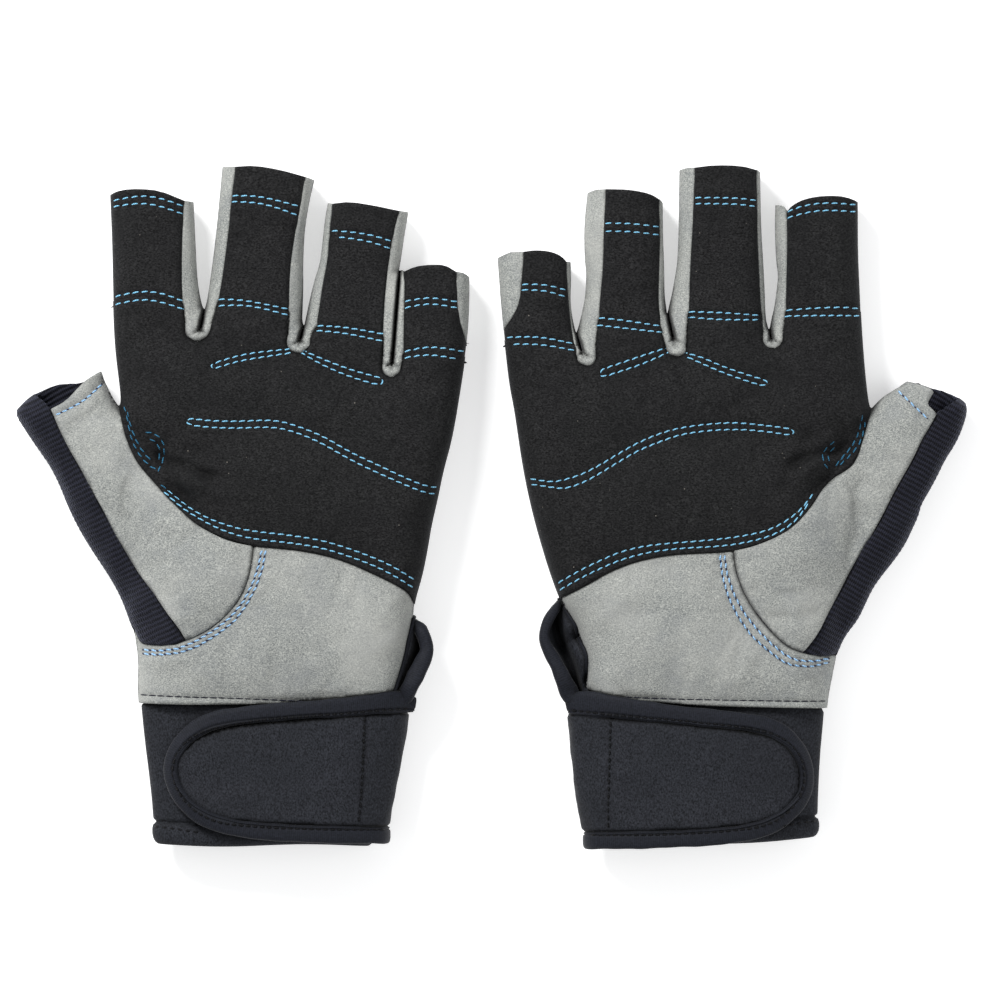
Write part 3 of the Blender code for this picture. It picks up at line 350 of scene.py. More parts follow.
def read_lines(text):
    """Named lines as arrays, or lists of arrays, with x turned into the left-hand sense."""
    table = {}
    for token in text.split():
        if token.endswith(":"):
            name = token[:-1]
            table[name] = [[]]
        elif token == "/":
            table[name].append([])
        else:
            table[name][-1].append([float(value) for value in token.split(",")])
    for name, lines in table.items():
        lines = [np.array(line) for line in lines]
        for line in lines:
            line[:, 0] *= -1
        table[name] = lines if len(lines) > 1 else lines[0]
    return table


# ---------------------------------------------------------------- curves and distances
def arc_length(line):
    """Distance along a line at each of its points."""
    return np.r_[0, np.cumsum(np.linalg.norm(np.diff(line, axis=0), axis=1))]


def resample(line, step):
    line = np.asarray(line, float)
    along = arc_length(line)
    count = max(1, int(round(along[-1] / step)))
    at = np.linspace(0, along[-1], count + 1)
    return np.c_[np.interp(at, along, line[:, 0]), np.interp(at, along, line[:, 1])]


def smooth(line, rounds=2):
    """Corner cutting that keeps both ends."""
    for _ in range(rounds):
        a, b = line[:-1], line[1:]
        cuts = np.empty((2 * len(a), 2))
        cuts[0::2], cuts[1::2] = a * 0.75 + b * 0.25, a * 0.25 + b * 0.75
        line = np.r_[line[:1], cuts[1:-1], line[-1:]]
    return line


def fine(line, step=0.8, rounds=2):
    return resample(smooth(line, rounds), step)


def closest(line, point):
    return int(np.argmin(((line - point) ** 2).sum(1)))


def cut(line, a, b):
    """The stretch of a dense line between the points nearest to a and b."""
    i, j = closest(line, a), closest(line, b)
    return line[i : j + 1] if i <= j else line[j : i + 1][::-1]


def extend(line, before, after):
    """The same line, longer at its start and end."""
    head, tail = line[0] - line[1], line[-1] - line[-2]
    line = line.copy()
    line[0] += head / np.linalg.norm(head) * before
    line[-1] += tail / np.linalg.norm(tail) * after
    return line


def loop(*runs):
    """Joins runs of points into a closed outline without doubled points."""

    def apart(p, q):
        return (p[0] - q[0]) ** 2 + (p[1] - q[1]) ** 2

    out = []
    for run in runs:
        for p in run:
            if not out or apart(p, out[-1]) > 0.02**2:
                out.append((float(p[0]), float(p[1])))
    while len(out) > 2 and apart(out[0], out[-1]) < 0.05**2:
        out.pop()
    return np.array(out)


def closed(outline):
    return np.r_[outline, outline[:1]]


def directions(line):
    step = np.gradient(line, axis=0)
    return step / (np.linalg.norm(step, axis=1)[:, None] + 1e-9)


def sideways(line):
    """Unit vectors to the left of a flat line."""
    along = directions(line)
    return np.c_[-along[:, 1], along[:, 0]]


def nearest(points, lines):
    """Distance from each point to the lines, and how far along the nearest place lies."""
    best, along = np.full(len(points), 1e9), np.zeros(len(points))
    for line in lines:
        start, chord = line[:-1], np.diff(line, axis=0)
        square = (chord**2).sum(1) + 1e-12
        length = np.sqrt(square)
        begin = np.r_[0, np.cumsum(length)[:-1]]
        for low in range(0, len(points), 4000):
            part = slice(low, low + 4000)
            here = points[part, None]
            t = np.clip(((here - start) * chord).sum(2) / square, 0, 1)
            off = ((here - start - t[..., None] * chord) ** 2).sum(2)
            k = off.argmin(1)
            row = np.arange(len(here))
            gap = np.sqrt(off[row, k])
            better = gap < best[part]
            best[part][better] = gap[better]
            along[part][better] = (begin[k] + t[row, k] * length[k])[better]
    return best, along


def distance(points, lines):
    return nearest(points, lines)[0]


def inside(points, outline):
    x, y = points[:, 0], points[:, 1]
    hit = np.zeros(len(points), bool)
    for (x0, y0), (x1, y1) in zip(outline, np.roll(outline, -1, axis=0)):
        if y0 != y1:
            hit ^= ((y0 > y) != (y1 > y)) & (x < (x1 - x0) * (y - y0) / (y1 - y0) + x0)
    return hit


def ease(t):
    t = np.clip(t, 0, 1)
    return t * t * (3 - 2 * t)


def hump(offset, width, power=2):
    """1 at no offset, falling away smoothly over the width."""
    return np.exp(-((offset / width) ** power))


def squared(value, power):
    """Turns a sine or cosine into that of a superellipse."""
    return np.sign(value) * np.abs(value) ** (2 / power)


def waves(points, seed, short, long):
    """Smooth undulation between about -1 and 1, from seeded sine waves."""
    rng = np.random.default_rng(seed)
    count = 18
    out = np.zeros(len(points))
    for _ in range(count):
        k = TURN / rng.uniform(short, long)
        a = rng.uniform(0, TURN)
        phase = rng.uniform(0, 6.3)
        out += np.sin(points[:, 0] * k * math.cos(a) + points[:, 1] * k * math.sin(a) + phase)
    return out / math.sqrt(count) * 0.8


# ---------------------------------------------------------------- meshes
def new_object(name, mesh, materials, mirror, solid=0.0):
    """A smooth object from (vertices, faces, uv) in mm; solid thickens it inwards."""
    V, F, UV = mesh
    if mirror:
        V = V * [-1, 1, 1]
        F = [tuple(face)[::-1] for face in F]
    data = bpy.data.meshes.new(name)
    data.from_pydata((V * MM).tolist(), [], [tuple(int(i) for i in face) for face in F])
    data.update()
    layer = data.uv_layers.new(name="UVMap")
    corners = np.empty(len(data.loops), np.int32)
    data.loops.foreach_get("vertex_index", corners)
    layer.data.foreach_set("uv", np.asarray(UV, np.float32)[corners].ravel())
    for item in materials:
        data.materials.append(item)
    data.shade_smooth()
    obj = bpy.data.objects.new(name, data)
    bpy.context.scene.collection.objects.link(obj)
    if solid:
        mod = obj.modifiers.new("thickness", "SOLIDIFY")
        mod.thickness, mod.offset = solid * MM, -1.0
        mod.material_offset = 1 if len(materials) > 1 else 0
        mod.use_quality_normals = True
    return obj


def normals_of(V, F):
    F = np.asarray(F)
    face = np.cross(V[F[:, 1]] - V[F[:, 0]], V[F[:, 2]] - V[F[:, 0]])
    out = np.zeros_like(V)
    for corner in range(3):
        np.add.at(out, F[:, corner], face)
    return out / (np.linalg.norm(out, axis=1)[:, None] + 1e-12)


def settle(V, F, pinned, grow):
    """A short cloth simulation of pinned fabric cut a little too large, so that it bows."""
    unit = 0.01  # simulated metres per mm
    frames = 16
    most = 1.6  # furthest a vertex may move
    data = bpy.data.meshes.new("settling")
    data.from_pydata((V * unit).tolist(), [], [tuple(int(i) for i in face) for face in F])
    obj = bpy.data.objects.new("settling", data)
    scene = bpy.context.scene
    scene.collection.objects.link(obj)
    group = obj.vertex_groups.new(name="pins")
    group.add([int(i) for i in np.flatnonzero(pinned)], 1.0, "REPLACE")
    mod = obj.modifiers.new("cloth", "CLOTH")
    cloth = mod.settings
    cloth.quality, cloth.mass, cloth.air_damping = 4, 0.12, 2.0
    cloth.tension_stiffness = cloth.compression_stiffness = 18
    cloth.shear_stiffness, cloth.bending_stiffness = 9, 0.6
    cloth.vertex_group_mass = "pins"
    cloth.shrink_min = -grow
    mod.collision_settings.use_collision = False
    mod.point_cache.frame_start, mod.point_cache.frame_end = 1, frames
    gravity = tuple(scene.gravity)
    scene.gravity = (0, 0, 4.0)
    for number in range(1, frames + 1):
        scene.frame_set(number)
    done = obj.evaluated_get(bpy.context.evaluated_depsgraph_get()).to_mesh()
    out = np.empty(len(V) * 3)
    done.vertices.foreach_get("co", out)
    out = out.reshape(-1, 3) / unit
    bpy.data.objects.remove(obj)
    bpy.data.meshes.remove(data)
    scene.gravity = gravity
    scene.frame_set(1)
    if not np.isfinite(out).all():  # an unstable simulation leaves the fabric as it was
        return V
    move = out - V
    far = np.linalg.norm(move, axis=1)
    return V + move * (np.minimum(far, most) / (far + 1e-9))[:, None]


class Cells:
    """Points sorted into square cells, to find close neighbours quickly."""

    def __init__(self, size):
        self.size, self.points = size, {}

    def place(self, p):
        return int(p[0] // self.size), int(p[1] // self.size)

    def add(self, p):
        self.points.setdefault(self.place(p), []).append(p)

    def crowds(self, p, reach):
        column, row = self.place(p)
        return any(
            (q[0] - p[0]) ** 2 + (q[1] - p[1]) ** 2 < reach * reach
            for i in (-1, 0, 1) for j in (-1, 0, 1)
            for q in self.points.get((column + i, row + j), ())
        )


def triangulate(outline, step, extra=np.empty((0, 2))):
    """An even triangle mesh of a flat outline, with extra points where detail is needed."""
    gap = 0.34  # least distance between extra points
    low, high = outline.min(0), outline.max(0)
    grid = np.array([
        (x + (step / 2 if j % 2 else 0), y)
        for j, y in enumerate(np.arange(low[1], high[1], step * 0.866))
        for x in np.arange(low[0], high[0], step)
    ])
    rim = [closed(outline)]
    extra = extra[inside(extra, outline)]
    extra = extra[distance(extra, rim) > gap * 0.6]
    kept, sparse, taken = [], Cells(gap), Cells(step)
    for p in extra:
        if not sparse.crowds(p, gap):
            kept.append(p)
            sparse.add(p)
            taken.add(p)
    grid = grid[inside(grid, outline)]
    grid = grid[distance(grid, rim) > step * 0.55]
    grid = [p for p in grid if not taken.crowds(p, step * 0.6)]
    points = np.r_[outline, np.array(kept).reshape(-1, 2), np.array(grid).reshape(-1, 2)]
    n = len(outline)
    border = [(i, (i + 1) % n) for i in range(n)]
    result = delaunay_2d_cdt([Vector(p) for p in points], border, [], 1, 1e-5)
    P = np.array([tuple(v) for v in result[0]])
    F = [tuple(face) for face in result[2] if len(face) == 3]
    a, b, c = P[np.array(F)].transpose(1, 2, 0)
    area = (b[0] - a[0]) * (c[1] - a[1]) - (b[1] - a[1]) * (c[0] - a[0])
    return P, [f if s > 0 else f[::-1] for f, s in zip(F, area) if abs(s) > 1e-7]


def as_triangles(F):
    return [t for f in F if len(f) == 4 for t in ((f[0], f[1], f[2]), (f[0], f[2], f[3]))]


def tube_faces(rings, sides, first=0):
    """Quads round each span of a tube, then its two end caps."""
    F = []
    for start in range(first, first + (rings - 1) * sides, sides):
        for k in range(sides):
            a, b = start + k, start + (k + 1) % sides
            F.append((a, b, b + sides, a + sides))
    F.append(tuple(range(first, first + sides))[::-1])
    F.append(tuple(first + (rings - 1) * sides + k for k in range(sides)))
    return F


def sweep(path, widths, heights, ups, sides, power, channel=0.0):
    """A band along a path with a superellipse section of the given half width and height.

    channel places a double groove on its upper side, as a share of the half width.
    """
    along = directions(path)
    across = np.cross(along, ups)
    across /= np.linalg.norm(across, axis=1)[:, None]
    up = np.cross(across, along)
    angle = TURN * np.arange(sides) / sides
    c, s = np.cos(angle), np.sin(angle)
    x = squared(c, power) * np.reshape(widths, (-1, 1)) * np.ones((len(path), 1))
    z = squared(s, power) * np.reshape(heights, (-1, 1)) * np.ones((len(path), 1))
    if channel:
        groove = 0.42 * hump(c - channel, 0.10) + 0.42 * hump(c - channel * 1.85, 0.09)
        z -= np.where(s > 0, groove, 0)
    V = path[:, None] + across[:, None] * x[..., None] + up[:, None] * z[..., None]
    V = V.reshape(-1, 3)
    run = arc_length(path)[:, None]
    UV = np.stack(np.broadcast_arrays(np.arange(sides) / sides * 10.0, run), -1).reshape(-1, 2)
    F = tube_faces(len(path), sides)
    a, b, c = (V[list(corner)] for corner in list(zip(*F[:sides]))[:3])
    if (np.cross(b - a, c - a) * (a - path[0])).sum() < 0:
        F = [face[::-1] for face in F]
    return V, F, UV


# ---------------------------------------------------------------- materials
class Nodes:
    """Short names for the shader nodes used below."""

    def __init__(self, tree, bsdf):
        self.tree, self.bsdf, self.normal = tree, bsdf, None
        self.spaces = self.add("ShaderNodeTexCoord").outputs

    def add(self, kind, **props):
        node = self.tree.nodes.new(kind)
        for name, value in props.items():
            setattr(node, name, value)
        return node

    def put(self, socket, value):
        if isinstance(value, bpy.types.NodeSocket):
            self.tree.links.new(value, socket)
        else:
            socket.default_value = value

    def axes(self, space):
        node = self.add("ShaderNodeSeparateXYZ")
        self.put(node.inputs[0], self.spaces[space])
        return node.outputs

    def noise(self, scale, detail=3.0, rough=0.5, stretch=None):
        vector = self.spaces["Object"]
        if stretch:
            mapping = self.add("ShaderNodeMapping")
            mapping.inputs["Scale"].default_value = stretch
            self.put(mapping.inputs["Vector"], vector)
            vector = mapping.outputs[0]
        node = self.add("ShaderNodeTexNoise")
        self.put(node.inputs["Vector"], vector)
        for name, value in (("Scale", scale), ("Detail", detail), ("Roughness", rough)):
            node.inputs[name].default_value = value
        return node.outputs["Fac"]

    def cells(self, scale):
        node = self.add("ShaderNodeTexVoronoi")
        self.put(node.inputs["Vector"], self.spaces["Object"])
        node.inputs["Scale"].default_value = scale
        return node.outputs["Distance"]

    def math(self, operation, a, b=0.0):
        node = self.add("ShaderNodeMath", operation=operation)
        for socket, value in zip(node.inputs, (a, b, 0.0)):
            self.put(socket, value)
        return node.outputs[0]

    def ripple(self, value, pitch):
        return self.math("COSINE", self.math("MULTIPLY", value, TURN / pitch))

    def remap(self, value, over, to=(0.0, 1.0)):
        node = self.add("ShaderNodeMapRange")
        for socket, item in zip(node.inputs, (value, *over, *to)):
            self.put(socket, item)
        return node.outputs[0]

    def mix(self, factor, a, b):
        node = self.add("ShaderNodeMix", data_type="RGBA")
        self.put(node.inputs[0], factor)
        for socket, value in ((node.inputs[6], a), (node.inputs[7], b)):
            self.put(socket, value if isinstance(value, bpy.types.NodeSocket) else (*value, 1))
        return node.outputs[2]

    def tint(self, low, high, pattern, over, amount=1.0):
        """Colour low turning to high, by the amount, as the pattern rises over a range."""
        return self.mix(self.remap(pattern, over, (0.0, amount)), low, high)

    def lint(self, colour, fleck, scale, over, patch_scale, patch_over, amount):
        """Pale flecks scattered in patches."""
        spots = self.remap(self.cells(scale), over)
        patches = self.remap(self.noise(patch_scale, detail=1), patch_over)
        cover = self.math("MULTIPLY", spots, patches)
        return self.mix(self.math("MULTIPLY", cover, amount), colour, fleck)

    def cavity_shade(self, colour, reach, depth):
        """The colour with painted shade: darker in creases and where two pieces meet, from ambient
        occlusion.
        """
        node = self.add("ShaderNodeAmbientOcclusion")
        node.samples = 4
        node.inputs["Distance"].default_value = reach
        ao_lit = self.math("POWER", node.outputs["AO"], depth)
        return self.mix(ao_lit, (0.0, 0.0, 0.0), colour)

    def colour(self, value):
        self.put(self.bsdf.inputs["Base Color"], value)

    def bump(self, height, distance, strength=1.0):
        node = self.add("ShaderNodeBump")
        node.inputs["Distance"].default_value = distance
        node.inputs["Strength"].default_value = strength
        self.put(node.inputs["Height"], height)
        if self.normal:
            self.put(node.inputs["Normal"], self.normal)
        self.normal = node.outputs[0]
        self.put(self.bsdf.inputs["Normal"], self.normal)

    def sheen(self, weight, rough=0.5, tint=(1, 1, 1)):
        self.bsdf.inputs["Sheen Weight"].default_value = weight
        self.bsdf.inputs["Sheen Roughness"].default_value = rough
        self.bsdf.inputs["Sheen Tint"].default_value = (*tint, 1)


def material(name, base, rough, paint):
    item = bpy.data.materials.new(name)
    item.use_nodes = True
    bsdf = item.node_tree.nodes["Principled BSDF"]
    bsdf.inputs["Base Color"].default_value = (*base, 1)
    bsdf.inputs["Roughness"].default_value = rough
    bsdf.inputs["Specular IOR Level"].default_value = 0.18
    paint(Nodes(item.node_tree, bsdf))
    return item


def paint_palm(n):
    grain = n.noise(scale=1500, rough=0.7, stretch=(1, 1.5, 1))
    weave = n.noise(scale=620, detail=2)
    blotch = n.noise(scale=90)
    c = n.tint((0.0010, 0.0010, 0.0011), (0.0290, 0.0290, 0.0297), grain, over=(0.38, 0.64))
    c = n.tint(c, (0.0075, 0.0075, 0.0080), weave, over=(0.35, 0.65), amount=0.45)
    c = n.tint(c, (0.0055, 0.0056, 0.0062), blotch, over=(0.40, 0.7), amount=0.35)
    c = n.lint(c, fleck=(0.24, 0.22, 0.19), scale=260, over=(0.060, 0.030),
               patch_scale=120, patch_over=(0.56, 0.60), amount=0.75)
    # painted shade in creases and where pieces meet, from ambient occlusion
    n.colour(n.cavity_shade(c, reach=0.0045, depth=2.4))
    n.bump(grain, distance=0.00025, strength=0.6)
    n.sheen(weight=0.03, rough=0.45, tint=(0.85, 0.9, 1.0))


def paint_suede(n):
    grain = n.noise(scale=2300, rough=0.7, stretch=(1, 1.3, 1))
    fuzz = n.noise(scale=1150, rough=0.65)
    blotch = n.noise(scale=85, detail=4, rough=0.6)
    c = n.tint((0.120, 0.130, 0.132), (0.530, 0.540, 0.500), grain, over=(0.36, 0.66))
    c = n.tint(c, (0.225, 0.235, 0.232), fuzz, over=(0.38, 0.66), amount=0.55)
    c = n.tint(c, (0.180, 0.192, 0.205), blotch, over=(0.48, 0.70), amount=0.38)
    worn = n.noise(scale=40, detail=2)
    c = n.tint(c, (0.47, 0.47, 0.44), worn, over=(0.42, 0.72), amount=0.40)
    # painted shade in creases and where pieces meet, from ambient occlusion
    n.colour(n.cavity_shade(c, reach=0.0035, depth=1.5))
    n.bump(fuzz, distance=0.00028, strength=0.4)
    n.bump(grain, distance=0.00018, strength=0.5)
    n.sheen(weight=0.12)


def paint_rib(n):
    across, along, _ = n.axes("UV")
    wide = n.math("MULTIPLY", n.noise(scale=120, detail=2), 0.8)
    narrow = n.math("MULTIPLY", n.noise(scale=420, detail=2), 0.45)
    wobbly = n.math("ADD", along, n.math("ADD", wide, narrow))
    ridge = n.ripple(wobbly, pitch=RIB)
    knit = n.ripple(across, pitch=0.62)
    height = n.math("ADD", n.math("MULTIPLY", ridge, 0.5), n.math("MULTIPLY", knit, 0.30))
    fuzz = n.noise(scale=2200, detail=2, rough=0.6)
    # painted light: the tops of the ribs are paler and the furrows darker, following the bump's
    # relief, with random fuzz
    light = n.remap(height, over=(-0.5, 0.6))
    light = n.math("ADD", light, n.remap(fuzz, over=(0.3, 0.7), to=(-0.22, 0.22)))
    c = n.mix(light, (0.0010, 0.0011, 0.0024), (0.0240, 0.0255, 0.0400))
    # painted shade in creases and where pieces meet, from ambient occlusion
    n.colour(n.cavity_shade(c, reach=0.003, depth=1.2))
    n.bump(height, distance=0.0005, strength=0.6)
    n.sheen(weight=0.12, rough=0.4, tint=(0.7, 0.75, 1.0))


def paint_stretch(n):
    x, y, _ = n.axes("Object")
    wale = n.ripple(x, pitch=0.0009)
    course = n.ripple(y, pitch=0.0007)
    height = n.math("MULTIPLY", wale, n.math("ADD", course, 1.4))
    n.colour(n.tint((0.0045, 0.0047, 0.0065), (0.018, 0.0185, 0.024), height, over=(-1.5, 1.8)))
    n.bump(height, distance=0.00018, strength=0.5)
    n.sheen(weight=0.12, rough=0.4)


def paint_neoprene(n):
    grain = n.noise(scale=1500, rough=0.7, stretch=(1.5, 1, 1))
    wide = n.noise(scale=60)
    c = n.tint((0.0028, 0.0032, 0.0045), (0.0310, 0.0335, 0.0420), grain, over=(0.34, 0.66))
    c = n.tint(c, (0.0090, 0.0100, 0.0130), wide, over=(0.4, 0.75), amount=0.35)
    c = n.lint(c, fleck=(0.16, 0.15, 0.13), scale=200, over=(0.050, 0.025),
               patch_scale=110, patch_over=(0.58, 0.62), amount=0.6)
    # painted shade in creases and where pieces meet, from ambient occlusion
    n.colour(n.cavity_shade(c, reach=0.003, depth=1.6))
    n.bump(grain, distance=0.00016, strength=0.5)
    n.sheen(weight=0.06, rough=0.35)


def paint_binding(n):
    rib = n.ripple(n.axes("UV")[1], pitch=0.62)
    fuzz = n.noise(scale=1800, detail=2, rough=0.6)
    height = n.math("ADD", n.math("MULTIPLY", rib, 0.10), n.math("MULTIPLY", fuzz, 0.8))
    c = n.tint((0.0030, 0.0038, 0.0060), (0.0175, 0.0195, 0.0285), height, over=(0.15, 0.7))
    # painted shade in creases and where pieces meet, from ambient occlusion
    n.colour(n.cavity_shade(c, reach=0.003, depth=1.5))
    n.bump(height, distance=0.00012, strength=0.35)
    n.sheen(weight=0.12, rough=0.35)


def paint_thread(dark, light, shine):
    def paint(n):
        around, along, _ = n.axes("UV")
        along = n.math("MULTIPLY", along, TURN / 0.5)  # the ply turns once in 0.5 mm
        ply = n.math("SINE", n.math("ADD", along, n.math("MULTIPLY", around, TURN)))
        # the twist's relief is in the bump; its colours are painted light: the light ply a painted
        # highlight, the dark ply painted shade between turns
        n.colour(n.tint(dark, light, ply, over=(-1, 1)))
        n.bump(ply, distance=0.00008, strength=0.6)
        n.sheen(weight=shine, rough=0.3)

    return paint


def paint_lining(n):
    grain = n.noise(scale=1500, rough=0.6)
    n.colour(n.tint((0.018, 0.018, 0.020), (0.055, 0.054, 0.052), grain, over=(0.3, 0.7)))
    n.bump(grain, distance=0.0003, strength=0.5)


def paint_hook(n):
    hooks = n.remap(n.cells(scale=900), over=(0.0, 0.6), to=(1.0, 0.0))
    n.colour(n.mix(hooks, (0.006, 0.006, 0.007), (0.035, 0.035, 0.04)))
    n.bump(hooks, distance=0.0006)


def paint_loop(n):
    pile = n.noise(scale=1300, detail=6, rough=0.8)
    n.colour(n.tint((0.004, 0.004, 0.005), (0.03, 0.03, 0.034), pile, over=(0.35, 0.65)))
    n.bump(pile, distance=0.0008, strength=0.9)


def paint_floor(n):
    mottle = n.noise(scale=3.0, detail=2)
    c = n.tint((0.93, 0.93, 0.93), (0.95, 0.95, 0.95), mottle, over=(0.3, 0.7))
    n.colour(c)
    n.put(n.bsdf.inputs["Emission Color"], c)
    n.bsdf.inputs["Emission Strength"].default_value = 0.48


# name: base colour, roughness, painter
FABRICS = {
    "palm_suede_black": ((0.012, 0.012, 0.012), 0.92, paint_palm),
    "suede_grey": ((0.3, 0.31, 0.3), 0.95, paint_suede),
    "ribbed_knit_black": ((0.01, 0.01, 0.015), 0.85, paint_rib),
    "stretch_black": ((0.01, 0.01, 0.013), 0.85, paint_stretch),
    "neoprene_black": ((0.016, 0.017, 0.02), 0.8, paint_neoprene),
    "binding_black": ((0.01, 0.011, 0.014), 0.7, paint_binding),
    "lining_dark": ((0.03, 0.03, 0.03), 0.95, paint_lining),
    "hook_black": ((0.02, 0.02, 0.02), 0.5, paint_hook),
    "loop_black": ((0.015, 0.015, 0.016), 0.95, paint_loop),
}
# name: base colour, roughness, dark ply, light ply, sheen; the ply colours are painted shade and
# painted highlight along the twist
THREADS = {
    "blue": ((0.10, 0.38, 0.68), 0.55, (0.035, 0.26, 0.56), (0.42, 0.84, 1.0), 0.2),
    # a darker copy of the blue thread: painted shade for the stitches in the web's shadow
    "blue_painted_shade": ((0.03, 0.14, 0.28), 0.6, (0.007, 0.050, 0.11), (0.050, 0.22, 0.36), 0.05),
    "navy": ((0.012, 0.018, 0.06), 0.55, (0.006, 0.010, 0.035), (0.02, 0.03, 0.09), 0.2),
    "pale_blue": ((0.2, 0.45, 0.75), 0.5, (0.11, 0.30, 0.60), (0.50, 0.74, 0.96), 0.2),
    "ink": ((0.008, 0.009, 0.018), 0.6, (0.004, 0.004, 0.010), (0.015, 0.016, 0.030), 0.02),
    "black": ((0.006, 0.006, 0.009), 0.5, (0.0008, 0.0008, 0.0014), (0.0035, 0.0035, 0.0050), 0.0),
}
MATERIALS = {name: material(name, *row) for name, row in FABRICS.items()}
for name, (base, rough, *look) in THREADS.items():
    MATERIALS[name] = material("thread_" + name, base, rough, paint_thread(*look))


# ---------------------------------------------------------------- gloves
class Wrist:
    """The wrist section unrolled: s runs round it from its top centre, y along the arm."""

    def __init__(self, edges):
        radial, ulnar = (line[::-1] for line in edges)
        self.y, self.radial, self.ulnar = radial[:, 1], radial[:, 0], ulnar[:, 0]
        self.angle = np.linspace(-math.pi, math.pi, 4001)
        self.s = arc_length(self.section(self.angle, np.full(4001, self.y.mean()), 0.0))
        self.s -= np.interp(0.0, self.angle, self.s)

    def middle(self, y):
        return (np.interp(y, self.y, self.radial) + np.interp(y, self.y, self.ulnar)) / 2

    def half(self, y):
        return np.abs(np.interp(y, self.y, self.ulnar) - np.interp(y, self.y, self.radial)) / 2

    def section(self, angle, y, out):
        s, c = np.sin(angle), np.cos(angle)
        x = self.middle(y) + (self.half(y) + out) * squared(s, CUFF_POWER)
        deep = CUFF_HEIGHT / 2 + out + np.where(c < 0, 0.9, 0.0)
        return np.c_[x, y, CUFF_HEIGHT / 2 + deep * squared(c, CUFF_POWER)]

    def wrap(self, s, y, out):
        """Places unrolled points round the wrist, a distance out from its section."""
        return self.section(np.interp(s, self.s, self.angle), y, out)

    def unroll(self, P, out=3.5):
        """The s of points seen from the palm side."""
        off = P[:, 0] - self.middle(P[:, 1])
        sine = np.clip(np.abs(off) / (self.half(P[:, 1]) + out), 0, 1) ** (CUFF_POWER / 2)
        return np.interp(np.sign(off) * np.arcsin(sine), self.angle, self.s)


